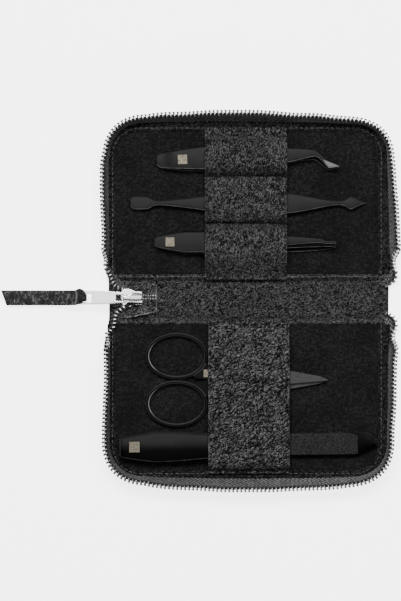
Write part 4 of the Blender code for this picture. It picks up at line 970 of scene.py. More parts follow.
def makeStrip(label, side):
    body = Body()
    places = (
        0.0, 1.5, 3.0, 4.5, 6.0, 7.2, 8.0, 8.6, 9.0, 9.3, 9.6, 10.0, 10.4, 10.8, 11.1, 11.4, 11.8, 12.2, 12.5,
    )
    rings = []
    count = int(strip["halfLength"] * 2 / strip["step"])
    for i in range(count + 1):
        x = -strip["halfLength"] + strip["halfLength"] * 2 * i / count
        endFall = smoothStep(abs(x), strip["halfLength"] - 1.6, strip["halfLength"])
        top, bottom = [], []
        for y in places:
            swell = 0.10 * wobble(x, y * side, 0, 13, 4.0) + 0.06 * wobble(x, y * side, 0, 4.5, 8.0)
            fall = smoothStep(y, 0.0, 1.0)
            z = stripTop(y) + swell * fall - 0.45 * endFall
            rise = smoothStep(y, strip["riseStart"], strip["riseEnd"])
            low = strip["low"] + (z - 0.75 - strip["low"]) * rise
            top.append(Vector((x, y * side, z)))
            bottom.append(Vector((x, y * side, min(low, z - 0.3))))
        rings.append(top + bottom[::-1])
    body.tube(rings)
    piece = body.piece(f"{label}_spine_strip", "smooth")
    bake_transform(piece)
    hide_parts("spine_lining")
    stitches = Body()
    line = [Vector((end, strip["seamY"], 0)) for end in (-strip["stitchEnd"], strip["stitchEnd"])]
    for place, along, run in evenPath(line, seam["pitch"]):
        place = mirrored((place.x, place.y, stripTop(strip["seamY"]) + 0.08), side)
        addStitch(stitches, place, along, up, seam["length"], seam["thick"])
    threads = stitches.piece(f"{label}_spine_stitches", "thread")
    fasten(threads, f"{label}_half", "smooth_leather")


makeStrip("upper", 1)
makeStrip("lower", -1)
print("spine strip made")


# Bands of pebbled leather
bands = {
    "upper": {
        "grain": "pebbled", "left": -21.8, "right": 19.2, "side": 1, "dip": 0.25,
        "line": (  # distance from the middle, height of the underside
            (9.9, 3.75), (11.5, 3.75), (12.6, 3.9), (14.5, 5.0), (17.5, 6.9), (21.5, 8.9), (25.5, 9.35),
            (30.0, 9.35),
            (33.8, 9.0), (35.6, 7.2), (36.9, 5.4), (38.0, 5.0), (39.2, 5.6), (41.8, 7.0), (45.0, 7.55),
            (49.0, 7.6),
            (53.5, 7.45), (56.5, 6.6), (59.5, 5.6), (61.2, 5.1), (62.6, 5.8), (64.2, 7.9), (66.8, 8.75),
            (71.0, 8.85),
            (75.8, 8.6), (78.2, 7.4), (80.0, 5.2), (81.2, 4.1), (82.2, 3.85), (84.0, 3.8), (86.0, 3.85),
        ),
        "creases": ((38.0, 0.5), (61.4, 0.35), (81.4, 0.35)),
        "foldShade": (  # middle, reach and strength of the painted shade, a painted highlight where the strength is below zero
            (83.9, 2.6, 0.15), (81.5, 0.7, 0.4), (64.2, 2.6, 0.5), (60.7, 0.5, -0.3), (38.4, 1.6, 0.75),
            (35.6, 0.6, -0.2),
            (11.5, 1.4, 0.35),
        ),
    },
    "lower": {
        "grain": "slanted", "left": -20.2, "right": 20.6, "side": -1, "dip": 0.0,
        "line": (
            (10.4, 3.75), (12.0, 3.75), (13.6, 4.0), (16.0, 5.1), (20.0, 6.3), (26.0, 7.1), (33.0, 7.65),
            (37.0, 7.7),
            (42.0, 7.6), (47.0, 7.3), (52.0, 6.7), (57.0, 6.1), (61.0, 6.0), (64.5, 7.0), (67.5, 8.5),
            (71.0, 8.85),
            (76.0, 8.85), (80.0, 8.7), (82.6, 7.7), (84.3, 5.6), (85.2, 4.4), (85.9, 3.95), (86.8, 3.85),
            (87.4, 3.9),
        ),
        "creases": ((39.5, 0.10), (84.9, 0.3)),
        "foldShade": ((86.9, 1.0, 0.1), (40.5, 1.6, 0.35), (57.0, 4.0, 0.2), (12.0, 2.0, 0.3)),
    },
}
bandLeather = {"thick": 1.15, "step": 0.7, "across": 0.8, "edge": 0.45}


def makeBand(label, band):
    side = band["side"]
    line = [Vector((0, y, z)) for y, z in band["line"]]
    path = evenPath(curvePath(line, 6), bandLeather["step"])
    body = Body()
    middle, half = (band["left"] + band["right"]) / 2, (band["right"] - band["left"]) / 2
    count = int(half * 2 / bandLeather["across"])
    spread = [-half + half * 2 * j / count for j in range(count + 1)]
    rings, lays = [], []
    for place, along, run in path:
        normal = Vector((0, -along.z, along.y)).normalized()
        y = place.y
        sway = 0.5 * wobble(0, y, 0, 26, 6.0 + side) + 0.12 * wobble(0, y, 0, 5, 2.0)
        top, bottom = [], []
        for x in spread:
            edge = abs(x) / half
            lift = 0.28 * wobble(x, y, 0, 16, 1.0 + side) + 0.16 * wobble(x * 0.5, y, 0, 5.0, 2.0)
            lift += 0.10 * wobble(x * 0.35, y * 1.4, 0, 2.2, 7.0)
            for at, depth in band["creases"]:
                shift = at + 0.5 * wobble(x, 0, 0, 9, at)
                lift -= depth * math.exp(-((y - shift) / 0.8) ** 2)
                lift += depth * 0.4 * math.exp(-((y - shift - 1.6) / 0.7) ** 2)
            flat = smoothStep(y, 10.0, 16.0) * (1 - smoothStep(y, 79.0, 84.0))
            lift *= 0.35 + 0.65 * flat
            curl = -bandLeather["edge"] * max(edge - 0.985, 0) / 0.015
            spot = Vector((middle + x + sway * edge * math.copysign(1, x) * 0.5, y, place.z))
            top.append(spot + normal * (bandLeather["thick"] + lift + curl * 0.6))
            bottom.append(spot + normal * max(min(lift, 0.0), -band["dip"]))
        rings.append([mirrored(p, side) for p in top + bottom[::-1]])
        shades = []
        for x in spread:
            shift = 0.7 * wobble(x, 0, 0, 11, 4.0 + side) + 0.3 * wobble(x, 0, 0, 3.5, 2.0)
            shade = sum(s * math.exp(-((y + shift - at) / reach) ** 2) for at, reach, s in band["foldShade"])
            # the band's edges lighter, the left edge more than the right
            shade -= smoothStep(abs(x), half - 0.9, half - 0.3) * (0.9 if x < 0 else 0.3)
            shades.append((run, x, min(shade, 0.95)))
        lays.append(shades + shades[::-1])
    body.tube(rings, lays)
    piece = body.piece(f"{label}_leather_band", band["grain"], 60)
    soften(piece, 0.3, 2, 60)
    fasten(piece, f"{label}_half", "pebbled_leather", f"{label}_tool_band")


for label, band in bands.items():
    makeBand(label, band)
print("bands made")


# Leather tab over the zip's ends
tab = {
    "outline": (  # x, y at its corners, from the upper left, clockwise
        (-66.2, 7.9), (-62.0, 9.1), (-56.5, 8.9), (-52.4, 8.2), (-46.6, 7.4), (-45.8, 6.4), (-45.75, 0.0),
        (-45.9, -5.4), (-46.9, -6.4), (-50.0, -7.2), (-54.2, -8.1), (-59.7, -9.2), (-65.4, -9.2),
        (-66.3, -8.2),
        (-66.4, 0.0),
    ),
    "low": 2.5, "thick": 0.85, "curl": 1.0, "pressed": 0.66, "stitchRows": (1.95, 0.35),
    "stitchStart": -52.6, "stitchEnd": -46.6,
}


def halfTab(piece, side):  # the part of the tab on one side of the middle, closed again
    builder = bmesh.new()
    builder.from_mesh(piece.data)
    everything = builder.verts[:] + builder.edges[:] + builder.faces[:]
    bmesh.ops.bisect_plane(builder, geom=everything, plane_no=(0, side, 0), clear_inner=True)
    bmesh.ops.holes_fill(builder, edges=[edge for edge in builder.edges if edge.is_boundary])
    builder.to_mesh(piece.data)
    builder.free()
    piece.data.set_sharp_from_angle(angle=math.radians(50))
    return piece


def makeTab():
    corners = [Vector((x, y, 0)) for x, y in tab["outline"]]
    closed = curvePath(corners + corners[:1], 5)[:-1]
    centre = sum(closed, Vector()) / len(closed)
    body = Body()
    rings = []
    profile = ((0.1, 0.0), (0.0, 0.25), (0.0, 0.55), (0.35, 0.80), (0.7, 0.86), (1.6, 0.84), (4.0, 0.84))
    for inset, z in profile:
        ring, marks = [], []
        for i, point in enumerate(closed):
            before, after = closed[i - 1], closed[(i + 1) % len(closed)]
            pale = smoothStep(point.x, -49, -46.5) * 0.45 if point.y > -5.5 else 1.0
            marks.append((pale if inset < 0.4 else 0.0, 0, 0))
            inward = up.cross(after - before).normalized()
            if (centre - point).dot(inward) < 0:
                inward = -inward
            spot = point + inward * inset
            wave = 0.12 * wobble(spot.x, spot.y, 0, 6.0, 3.0) if z > 0.5 else 0
            curl = tab["curl"] * smoothStep(-spot.y, 4.5, 8.0) * smoothStep(spot.x, -62, -57)
            ring.append(Vector((spot.x, spot.y, tab["low"] + z * tab["thick"] / 0.85 + wave + curl)))
        rings.append(body.ring(ring, marks))
    for near, far in zip(rings, rings[1:]):
        body.skin(near, far)
    body.cap(rings[0])
    tip = body.ring([Vector((centre.x, centre.y, tab["low"] + tab["thick"]))], [(0, 0, 0)])[0]
    body.fan(rings[-1], tip)
    for label, side, joint in (("upper", 1, "upper_fold"), ("lower", -1, "spine_fold")):
        piece = halfTab(body.piece(f"{label}_zip_end_patch", "tab"), side)
        fasten(piece, "spine", "smooth_leather", "zip_end_tab")
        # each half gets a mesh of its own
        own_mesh(piece)
    stitches = Body()
    for y in tab["stitchRows"]:
        line = [Vector((tab["stitchStart"], y, 0)), Vector((tab["stitchEnd"], y, 0))]
        for place, along, run in evenPath(line, 1.3):
            place.z = tab["low"] + tab["thick"] + 0.12
            addStitch(stitches, place, along, up, 0.7, 0.36)
    fasten(stitches.piece("zip_end_stitches", "bright"), "spine", "smooth_leather")


makeTab()
print("zip end patch made")


# Flat plates with rounded edges, for the slider and its pull
def plateBody(body, outline, low, high, rounding, holes):  # a plate with holes
    curve = bpy.data.curves.new("plate", "CURVE")
    curve.dimensions, curve.fill_mode = "2D", "BOTH"
    for loop in (outline, *holes):
        spline = curve.splines.new("POLY")
        spline.points.add(len(loop) - 1)
        for point, (x, y) in zip(spline.points, loop):
            point.co = (x, y, 0, 1)
        spline.use_cyclic_u = True
    curve.extrude = (high - low) / 2 - rounding
    curve.bevel_depth, curve.bevel_resolution = rounding, 2
    curve.offset = -rounding
    item = bpy.data.objects.new("plate", curve)
    bpy.context.scene.collection.objects.link(item)
    bpy.context.view_layer.update()
    graph = bpy.context.evaluated_depsgraph_get()
    mesh = bpy.data.meshes.new_from_object(item.evaluated_get(graph), depsgraph=graph)
    builder = bmesh.new()
    builder.from_mesh(mesh)
    bmesh.ops.remove_doubles(builder, verts=builder.verts, dist=1e-3)
    builder.to_mesh(mesh)
    builder.free()
    start = len(body.points)
    for vertex in mesh.vertices:
        spot = Vector((vertex.co.x, vertex.co.y, vertex.co.z + (low + high) / 2))
        body.points.append(spot)
        body.lay.append(tuple(spot))
    body.faces += [tuple(start + i for i in face.vertices) for face in mesh.polygons]
    bpy.data.objects.remove(item)
    bpy.data.meshes.remove(mesh)


def slabBody(body, outline, low, high, rounding):  # a plain plate, rounded evenly all round
    points = [Vector(point) for point in outline]
    area = sum(a.x * b.y - b.x * a.y for a, b in zip(points, points[1:] + points[:1]))
    inward = []
    for i, point in enumerate(points):
        along = (points[(i + 1) % len(points)] - points[i - 1]).normalized()
        inward.append(Vector((-along.y, along.x)) * math.copysign(1, area))
    rings = []
    for inset, z in ((1, low), (0.3, low + rounding * 0.3), (0, low + rounding), (0, high - rounding),
                     (0.3, high - rounding * 0.3), (1, high)):
        rings.append([(*(point + inner * rounding * inset), z) for point, inner in zip(points, inward)])
    body.tube(rings)


def roundedLoop(corners, radius):  # the outline's corners as arcs
    loop, steps = [], 4
    for i, corner in enumerate(corners):
        before, after = Vector(corners[i - 1]), Vector(corners[(i + 1) % len(corners)])
        corner = Vector(corner)
        reach = min(radius, (before - corner).length * 0.48, (after - corner).length * 0.48)
        a = corner + (before - corner).normalized() * reach
        b = corner + (after - corner).normalized() * reach
        for k in range(steps + 1):
            t = k / steps
            loop.append(tuple(a * (1 - t) ** 2 + corner * 2 * t * (1 - t) + b * t * t))
    return loop


slider = {
    "front": -63.2, "y": 0.7, "low": 3.6, "plate": 1.0, "gap": 1.9, "rounding": 0.28,
    "half": ((0, 2.3), (0.5, 3.9), (1.5, 4.45), (4.2, 4.45), (5.9, 3.35), (9.6, 3.2), (10.1, 2.8)),
    "cap": (  # x, then its two sides
        (-63.7, 3.4, 0.2), (-63.0, 4.8, -0.7), (-62.3, 5.3, -1.2), (-58.9, 5.15, -1.4), (-57.2, 4.1, -1.5),
        (-56.2, 3.8, -1.55), (-53.6, 3.6, -1.7), (-53.1, 3.0, -1.25),
    ),
    "rails": ((2.8, 3.3), (-1.4, -0.9)),  # south and north of each
    "bridge": (  # x, height of the underside, thickness, its two sides measured from the middle line
        (-62.70, 7.3, 1.15, -1.15), (-62.78, 8.6, 1.2, -1.2), (-62.55, 9.45, 1.3, -1.3),
        (-61.9, 9.75, 1.35, -1.35),
        (-60.4, 9.4, 1.4, -1.45), (-59.1, 8.94, 2.4, -1.7), (-57.0, 8.2, 2.6, -1.8),
        (-55.0, 7.49, 2.5, -1.75),
        (-53.6, 7.0, 2.3, -1.6), (-53.2, 6.6, 2.2, -1.5),
    ),
}


def makeSlider():
    body = Body()
    front, y = slider["front"], slider["y"]
    corners = [(front + x, y + w) for x, w in slider["half"]]
    corners += [(front + x, y - w) for x, w in reversed(slider["half"])]
    low = slider["low"]
    top = low + slider["plate"] * 2 + slider["gap"]
    slabBody(body, roundedLoop(corners, 0.9), low, low + slider["plate"], slider["rounding"])
    cap = [(x, north) for x, north, south in slider["cap"]]
    cap += [(x, south) for x, north, south in slider["cap"][::-1]]
    slabBody(body, roundedLoop(cap, 0.8), top - slider["plate"], top, 0.22)
    post = [(front + x, y + w) for x, w in ((0.4, -0.8), (2.6, -0.25), (2.6, 0.25), (0.4, 0.8))]
    slabBody(body, roundedLoop(post, 0.5), low + 0.6, top - 0.6, 0.05)
    for south, north in slider["rails"]:
        rail = [(front + x, w) for x, w in ((6.4, south), (9.5, south), (9.5, north), (6.4, north))]
        slabBody(body, roundedLoop(rail, 0.2), low + 0.5, top - 0.5, 0.1)
    piece = evenFaces(body.piece("zip_slider_body", "polished", 45))
    fasten(piece, "zip_slider", "polished_nickel", "slider_body")
    arch = Body()
    rings = []
    rows = curvePath([Vector((x, z, n)) for x, z, n, s in slider["bridge"]], 4)
    souths = curvePath([Vector((s, 0, 0)) for x, z, n, s in slider["bridge"]], 4)
    for i, (row, south) in enumerate(zip(rows, souths)):
        ahead = rows[min(i + 1, len(rows) - 1)] - rows[max(i - 1, 0)]
        away = Vector((-ahead.y, 0, ahead.x)).normalized()
        north, south = row.z, south.x
        centre, reach = (north + south) / 2, (north - south) / 2
        rings.append([
            Vector((row.x, y + centre + a * reach, row.y)) + away * b for a, b in (
                (1, 0.1), (1, 0.35), (0.88, 0.55), (0.6, 0.66), (0, 0.72), (-0.6, 0.66), (-0.88, 0.55),
                (-1, 0.35),
                (-1, 0.1), (-0.85, 0.0), (0, 0.0), (0.85, 0.0))
        ])
    arch.tube(rings)
    fasten(arch.piece("zip_slider_bridge", "polished", 75), "zip_slider", "polished_nickel", "slider_bridge")


pull = {
    "axis": (-61.6, 0.7, 8.7), "droop": 10.0, "thick": 1.2, "rounding": 0.34,
    "outline": (  # along, then its two sides
        (0.65, 2.1, -1.8), (0.1, 2.75, -2.4), (-3.4, 3.0, -2.55), (-7.8, 3.35, -2.95), (-12.3, 3.75, -3.3),
        (-23.6, 3.8, -3.4), (-24.3, 3.3, -2.9),
    ),
    "eye": (-4.65, -0.65, 3.0), "slot": (-22.8, -17.0, 4.0),
}


def makePull():
    body = Body()
    sides = pull["outline"]
    outline = roundedLoop([(x, a) for x, a, b in sides] + [(x, b) for x, a, b in reversed(sides)], 0.9)

    def opening(left, right, width):
        half = width / 2
        return roundedLoop([(left, -half), (right, -half), (right, half), (left, half)], 0.45)

    plateBody(body, outline, -pull["thick"] / 2, pull["thick"] / 2, pull["rounding"],
              (opening(*pull["eye"]), opening(*pull["slot"])))
    turn = Matrix.Rotation(-math.radians(pull["droop"]), 4, "Y")
    body.points = [turn @ p + Vector(pull["axis"]) for p in body.points]
    piece = evenFaces(body.piece("zip_pull_plate", "polished", 40))
    return fasten(piece, "zip_pull", "polished_nickel", "metal_pull")


makeSlider()
makePull()
print("slider and pull made")


# Leather strap, folded round the slot bar
strap = {
    "bar": (-84.79, 0.7, 4.61), "length": 39.2, "ply": 1.02, "gap": 0.06, "rest": 1.25, "slant": 2.75,
    "loop": (  # along, height, then its two sides: over the pull's end, down its slot and back under the bar
        (-1.5, 1.2, 3.95, -3.65), (-0.7, 1.58, 4.5, -3.35), (0.3, 1.72, 4.6, -3.0), (1.2, 1.78, 4.5, -2.7),
        (1.9, 1.85, 4.1, -2.0), (2.5, 1.85, 3.3, -1.85), (2.95, 1.7, 2.3, -1.7), (3.3, 1.35, 1.85, -1.55),
        (3.5, 0.8, 1.85, -1.5), (3.45, 0.2, 1.85, -1.6), (3.2, -0.5, 1.85, -1.7), (2.7, -1.1, 1.85, -1.85),
        (1.9, -1.5, 1.85, -1.85), (0.9, -1.68, 1.85, -1.85), (0.0, -1.71, 1.85, -1.85),
        (-0.75, -1.6, 2.0, -2.0),
        (-1.4, -1.2, 3.4, -3.4),
    ),
    "sides": (3.78, -3.78), "bend": (0.3, -3.0),  # the strap's two sides, and its bend
}


strapSection = (  # across as a share, then away
    (1, -0.2), (1, 0.2), (0.965, 0.42), (0.9, 0.5), (0.6, 0.52), (0.3, 0.5), (0, 0.52), (-0.3, 0.5),
    (-0.6, 0.52),
    (-0.9, 0.5), (-0.965, 0.42), (-1, 0.2), (-1, -0.2), (-0.965, -0.42), (-0.9, -0.5), (-0.3, -0.5),
    (0.3, -0.5),
    (0.9, -0.5), (0.965, -0.42),
)


def makeStrap():
    bar = Vector(strap["bar"])
    restZ = strap["rest"] - bar.z
    ply = strap["ply"]
    north, south = strap["sides"]
    plies = []
    for upDown in (1, -1):
        row = []
        for i in range(15):
            away = strap["length"] - (strap["length"] - 4.2) * i / 14
            z = restZ * smoothStep(away, 1.0, 14.0) + (ply + strap["gap"]) / 2 * upDown
            row.append((-away, z, north, south))
        plies.append(row)
    rows = plies[0] + list(strap["loop"]) + plies[1][::-1]
    centre = curvePath([Vector((x, 0, z)) for x, z, n, s in rows], 6)
    sides = curvePath([Vector((n, s, 0)) for x, z, n, s in rows], 6)
    body = Body()
    rings, lays = [], []
    for i, place in enumerate(centre):
        ahead = centre[min(i + 1, len(centre) - 1)] - centre[max(i - 1, 0)]
        away = Vector((0, 1, 0)).cross(ahead).normalized()
        middle, half = (sides[i].x + sides[i].y) / 2, (sides[i].x - sides[i].y) / 2
        slanted = smoothStep(-place.x, strap["length"] - 6.0, strap["length"])
        ring, spots = [], []
        for a, b in strapSection:
            y = middle + a * half
            spot = place + Vector((0, y, 0)) + away * (b * ply + 0.05 * wobble(place.x, y, b, 2.5, 4.0))
            spot.x += strap["slant"] * slanted * (0.5 - a / 2)
            ring.append(spot + bar)
            spots.append((place.x, y, b))
        rings.append(ring)
        lays.append(spots)
    body.tube(rings, lays)
    piece = body.piece("strap_leather", "strap", 60)
    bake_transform(piece)
    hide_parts("pull_strap")
    return piece


makeStrap()
print("strap made")


# Tools
def barSection(north, south, low, high, corner):
    # a box section with round corners, as points (y, z)
    steps = 3
    radius = min(north - south, high - low) * corner
    points = []
    for cy, cz, begin in (
        (north - radius, high - radius, 0), (south + radius, high - radius, 90),
        (south + radius, low + radius, 180), (north - radius, low + radius, 270),
    ):
        for k in range(steps + 1):
            turn = math.radians(begin + 90 * k / steps)
            points.append((cy + radius * math.cos(turn), cz + radius * math.sin(turn)))
    return points


def toolPiece(
    name, tool, edges, heights, look, corner=0.3, step=1.2, start=0.0, length=None, crown=0.0, ledge=0.0
):  # ledge is the width of the step along the piece's south side, which takes a painted highlight
    length = length or tool["length"]
    count = int(length / step)
    shares = sorted({i / count for i in range(count + 1)} | {row[0] for row in edges})
    table = [(row[0], row[1], row[2] if len(row) > 2 else -row[1]) for row in edges]
    turn = Matrix.Rotation(math.radians(tool.get("tilt", 0)), 4, "Z")
    base = Vector(tool["place"])
    body = Body()
    rings, lays = [], []
    for share in shares:
        north, south = (value * tool["width"] for value in readTable(table, share))
        low, high = heights(share)
        section = [(y, z, 0) for y, z in barSection(north, south, low, high, corner)]
        middle, half = (north + south) / 2, max((north - south) / 2, 1e-6)
        if ledge:
            wide = min(ledge, half * 0.5)
            drop = min((high - low) * 0.45, wide * 0.7)
            glintStep = [
                (south + wide * 1.35, high - 0.02, 0), (south + wide, high - drop, 0),
                (south + wide * 0.85, high - drop, 1), (south + 0.08, high - drop, 1),
                (south, high - drop - 0.08, 1),
            ]
            section = section[:4] + glintStep + section[8:]
        ring, spots = [], []
        for y, z, paintedGlint in section:
            if crown and z > (low + high) / 2 and not paintedGlint:
                z -= crown * ((y - middle) / half) ** 2 * min(half / 4.0, 1)
            ring.append(turn @ Vector((start + share * length, y, z)) + base)
            spots.append((start + share * length, y, paintedGlint))
        rings.append(ring)
        lays.append(spots)
    body.tube(rings, lays)
    return body.piece(name, look, 35)


tweezers = {
    "place": (-45.85, 69.3, 3.5), "tilt": 2.5, "length": 91.2, "width": 12.0, "arm": 1.3, "heelGap": 0.3,
    "mainGap": 2.1,
    "edges": (
        (0, 0.17, -0.17), (0.006, 0.235, -0.235), (0.021, 0.295, -0.295), (0.05, 0.33, -0.33),
        (0.098, 0.367, -0.36),
        (0.166, 0.42, -0.40), (0.264, 0.488, -0.44), (0.40, 0.50, -0.42), (0.56, 0.44, -0.36),
        (0.72, 0.283, -0.30),
        (0.80, 0.22, -0.20), (0.861, 0.155, -0.12), (0.885, 0.05, -0.17), (0.906, -0.09, -0.345),
        (0.9216, -0.235, -0.47),
        (0.939, -0.31, -0.62), (0.982, -0.484, -0.59), (1, -0.56, -0.575),
    ),
    "underEdges": (
        (0, 0.17, -0.17), (0.006, 0.235, -0.24), (0.021, 0.295, -0.305), (0.05, 0.33, -0.35),
        (0.098, 0.367, -0.41),
        (0.166, 0.42, -0.48), (0.264, 0.488, -0.53), (0.40, 0.50, -0.53), (0.56, 0.44, -0.46),
        (0.72, 0.283, -0.35),
        (0.80, 0.22, -0.26), (0.861, 0.155, -0.25), (0.885, 0.05, -0.36), (0.906, -0.09, -0.50),
        (0.9216, -0.235, -0.60),
        (0.939, -0.31, -0.69), (0.982, -0.484, -0.65), (1, -0.565, -0.60),
    ),
    "rise": ((0, 0), (0.04, 0.12), (0.088, 0.85), (0.13, 1), (0.56, 1), (0.80, 0.93), (1, 0.87)),
}


def makeTweezers():
    arm = tweezers["arm"]

    def upperArm(share):
        rise = readTable(tweezers["rise"], share)[0]
        gap = tweezers["heelGap"] + (tweezers["mainGap"] - tweezers["heelGap"]) * rise
        return arm + gap, arm * 2 + gap

    lower = toolPiece(
        "tweezers_under_arm", tweezers, tweezers["underEdges"], lambda share: (0, arm), "dim", 0.32,
        ledge=0.45,
    )
    fasten(lower, "tweezers", "black_steel", "tweezers_lower_arm")
    upper = toolPiece(
        "tweezers_top_arm", tweezers, tweezers["edges"], upperArm, "tweezers", 0.32, crown=0.25, ledge=0.4,
    )
    fasten(upper, "tweezers_arm", "black_steel", "tweezers_upper_arm")


cleaner = {
    "place": (-59.0, 48.3, 3.5), "length": 117.6, "width": 11.0, "height": 3.4,
    "edges": (
        (0, 0.15), (0.004, 0.215), (0.012, 0.275), (0.022, 0.298), (0.070, 0.298), (0.083, 0.235),
        (0.094, 0.165),
        (0.104, 0.125), (0.125, 0.115), (0.17, 0.15), (0.24, 0.235), (0.304, 0.33), (0.36, 0.42),
        (0.42, 0.48),
        (0.53, 0.50), (0.67, 0.473), (0.75, 0.35), (0.785, 0.275), (0.85, 0.135), (0.895, 0.11),
        (0.910, 0.14),
        (0.937, 0.295), (0.958, 0.205), (0.985, 0.075), (1, 0.015),
    ),
    "depth": (
        (0, 0.14), (0.028, 0.18), (0.095, 0.34), (0.24, 0.44), (0.42, 0.5), (0.67, 0.5), (0.85, 0.38),
        (0.910, 0.30), (0.958, 0.22), (1, 0.06),
    ),
}


def makeCleaner():
    def heights(share):
        depth = readTable(cleaner["depth"], share)[0] * cleaner["height"]
        return cleaner["height"] / 2 - depth, cleaner["height"] / 2 + depth

    piece = toolPiece(
        "double_ended_cleaner", cleaner, cleaner["edges"], heights, "steel", 0.42, 1.0, crown=0.5,
        ledge=0.45,
    )
    fasten(piece, "cleaner", "black_steel", "nail_cleaner")


clipper = {
    "place": (-46.9, 28.7, 3.5), "tilt": -0.3, "length": 90.6, "width": 12.0, "leaf": 1.0, "heelGap": 0.3,
    "jawGap": 1.9, "leverGap": 0.35, "leverReach": 0.8, "pinX": 84.5, "pinRadius": 0.7,
    "headRadius": 0.75, "head": 0.1,
    "edges": (
        (0, 0.155), (0.006, 0.21), (0.0276, 0.255), (0.057, 0.30), (0.11, 0.38), (0.179, 0.455),
        (0.267, 0.46),
        (0.50, 0.43), (0.62, 0.34, -0.42), (0.73, 0.267, -0.40), (0.912, 0.183, -0.317),
        (0.97, 0.15, -0.25),
        (1, 0.11, -0.20),
    ),
    "middleEdges": (
        (0, 0.155), (0.006, 0.21), (0.0276, 0.255), (0.057, 0.30), (0.11, 0.38), (0.179, 0.43),
        (0.267, 0.43),
        (0.50, 0.41, -0.38), (0.62, 0.31, -0.27), (0.73, 0.262, -0.233), (0.912, 0.175, -0.17),
        (0.985, 0.13, -0.16),
        (1, 0.10, -0.13),
    ),
    "leverEdges": (
        (0, 0.14), (0.006, 0.19), (0.0276, 0.235), (0.057, 0.28), (0.11, 0.35), (0.179, 0.41),
        (0.267, 0.41),
        (0.50, 0.38, -0.33), (0.62, 0.30, -0.16), (0.73, 0.262, -0.108), (0.912, 0.17, -0.01),
        (0.93, 0.14, -0.03),
        (0.94, 0.08, -0.05),
    ),
    "rise": (
        (0, 0), (0.057, 0.28), (0.267, 0.45), (0.50, 0.60), (0.725, 0.76), (0.85, 0.90), (0.918, 1), (1, 1),
    ),
}


def discBody(body, centre, radius, low, high):
    sides, edge = 28, 0.12
    rings = []
    for size, z in ((radius - edge, low), (radius, low + edge), (radius, high - edge), (radius - edge, high)):
        rings.append([centre + Vector((math.cos(t) * size, math.sin(t) * size, z))
                      for t in (math.tau * k / sides for k in range(sides))])
    body.tube(rings)


def makeClipper():
    leaf = clipper["leaf"]

    def upperLeaf(share):
        rise = (clipper["jawGap"] - clipper["heelGap"]) * readTable(clipper["rise"], share)[0]
        return leaf + clipper["heelGap"] + rise, leaf * 2 + clipper["heelGap"] + rise

    def lever(share):
        low = upperLeaf(share)[1] + clipper["leverGap"] + clipper["leverReach"] * (1 - share)
        return low, low + leaf

    under = toolPiece("clipper_under_leaf", clipper, clipper["edges"], lambda s: (0, leaf), "dim", ledge=0.4)
    fasten(under, "clipper", "black_steel", "clipper_lower_leaf")
    middle = toolPiece("clipper_middle_leaf", clipper, clipper["middleEdges"], upperLeaf, "dim", ledge=0.3)
    fasten(middle, "clipper_leaf", "black_steel", "clipper_upper_leaf")
    top = toolPiece(
        "clipper_top_lever", clipper, clipper["leverEdges"], lever, "steel", 0.34, crown=0.2, ledge=0.35,
    )
    fasten(top, "lever", "black_steel", "clipper_lever")
    turn = Matrix.Rotation(math.radians(clipper["tilt"]), 4, "Z")
    centre = turn @ Vector((clipper["pinX"], 0, 0)) + Vector(clipper["place"])
    leverTop = lever(clipper["pinX"] / clipper["length"])[1]
    body = Body()
    discBody(body, centre, clipper["pinRadius"], 0.02, leverTop + 0.2)
    discBody(body, centre, clipper["headRadius"], leverTop + 0.1, leverTop + 0.1 + clipper["head"])
    fasten(body.piece("clipper_rivet", "dim"), "clipper", "black_steel", "clipper_pin")


scissors = {
    "place": (9.75, -40.3), "ringBack": 45.7, "ringSide": 11.9, "ringLong": 14.6, "ringWide": 10.8,
}


def makeScissors():
    looks["scissors"] = scissorsLook()
    for name in ("scissors_upper_blade", "scissors_lower_blade", "pivot_screw"):
        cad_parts[name].material_slots[0].material = looks["scissors"]


nailFile = {
    "place": (-64.8, -73.9, 3.5), "tilt": 0.9, "length": 73.0, "width": 15.4, "height": 4.8,
    "bladeLength": 56.2,
    "bladeThick": 1.2, "bladeWidth": 10.8,
    "edges": (
        (0, 0.25), (0.006, 0.30), (0.02, 0.335), (0.10, 0.405), (0.18, 0.46), (0.255, 0.5), (0.34, 0.492),
        (0.45, 0.465), (0.61, 0.412), (0.98, 0.385), (1, 0.36),
    ),
    "depth": ((0, 0.26), (0.012, 0.40), (0.04, 0.5), (0.97, 0.5), (1, 0.42)),
    "bladeEdges": (
        (0, 0.5, -0.5), (0.66, 0.5, -0.5), (0.751, 0.47, -0.5), (0.823, 0.36, -0.49), (0.91, 0.20, -0.28),
        (0.965, 0.08, -0.125), (1, -0.005, -0.03),
    ),
}


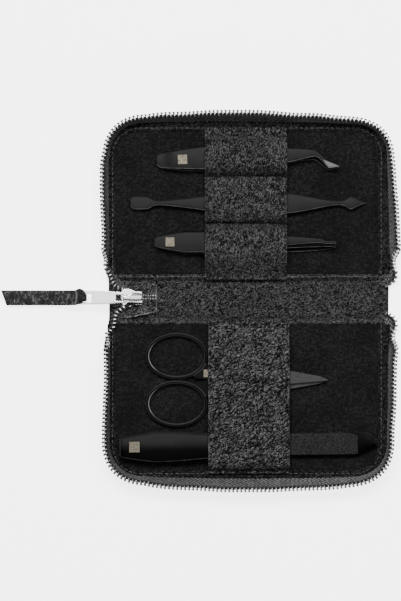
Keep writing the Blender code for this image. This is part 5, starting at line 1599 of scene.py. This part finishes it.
def makeFile():
    middle = nailFile["height"] / 2

    def heights(share):
        depth = readTable(nailFile["depth"], share)[0] * nailFile["height"]
        return middle - depth, middle + depth

    handle = toolPiece(
        "nail_file_handle", nailFile, nailFile["edges"], heights, "plastic", 0.42, 1.0, crown=1.1,
        ledge=0.4,
    )
    fasten(handle, "file", "black_plastic", "file_handle")
    blade = dict(nailFile, width=nailFile["bladeWidth"])
    half = nailFile["bladeThick"] / 2
    piece = toolPiece(
        "nail_file_blade", blade, nailFile["bladeEdges"], lambda s: (middle - half, middle + half), "file",
        start=nailFile["length"] + 0.3, length=nailFile["bladeLength"],
    )
    fasten(piece, "file", "file_steel", "file_blade")


makeTweezers()
makeCleaner()
makeClipper()
makeScissors()
makeFile()
for name in ("tweezers_badge", "clipper_badge", "scissors_badge", "file_badge"):
    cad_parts[name].material_slots[0].material = looks["badge"]
print("tools made")


# Floor, light and camera
studio = {
    "floor": 1600, "world": 0.10, "lens": 200.0, "sensor": 36.0, "span": 300.5, "aim": (-24.0, -0.6, 6.0),
    "lights": (  # name, width and height, place, what it looks at, power
        ("overhead card", (2300, 380), (230, 0, 1500), (230, 0, 0), 8.3),
        ("key softbox", (1300, 420), (-50, 700, 1200), (0, 0, 0), 40.0),
        ("low strip", (900, 160), (50, -1100, 380), (0, 0, 0), 4.0),
    ),
}


def makeStudio():
    half = studio["floor"]
    corners = [(-half, -half, 0), (half, -half, 0), (half, half, 0), (-half, half, 0)]
    floor = addPiece("table", corners, [(0, 1, 2, 3)], "floor")
    world = bpy.data.worlds.new("studio")
    world.use_nodes = True
    world.node_tree.nodes["Background"].inputs["Color"].default_value = (1, 1, 1, 1)
    world.node_tree.nodes["Background"].inputs["Strength"].default_value = studio["world"]
    bpy.context.scene.world = world
    for name, size, place, aim, power in studio["lights"]:
        lamp = bpy.data.lights.new(name, "AREA")
        lamp.shape, lamp.energy = "RECTANGLE", power
        lamp.size, lamp.size_y = size[0] * unit, size[1] * unit
        item = bpy.data.objects.new(name, lamp)
        item.location = Vector(place) * unit
        item.rotation_euler = (Vector(aim) - Vector(place)).to_track_quat("-Z", "Y").to_euler()
        bpy.context.scene.collection.objects.link(item)
    camera = bpy.data.cameras.new("camera")
    camera.lens, camera.sensor_width, camera.sensor_fit = studio["lens"], studio["sensor"], "AUTO"
    camera.clip_end = 20
    item = bpy.data.objects.new("camera", camera)
    distance = studio["span"] * studio["lens"] / studio["sensor"]
    item.location = (Vector(studio["aim"]) + up * distance) * unit
    bpy.context.scene.collection.objects.link(item)
    bpy.context.scene.camera = item


looks["floor"] = floorLook()
makeStudio()
print("studio made")
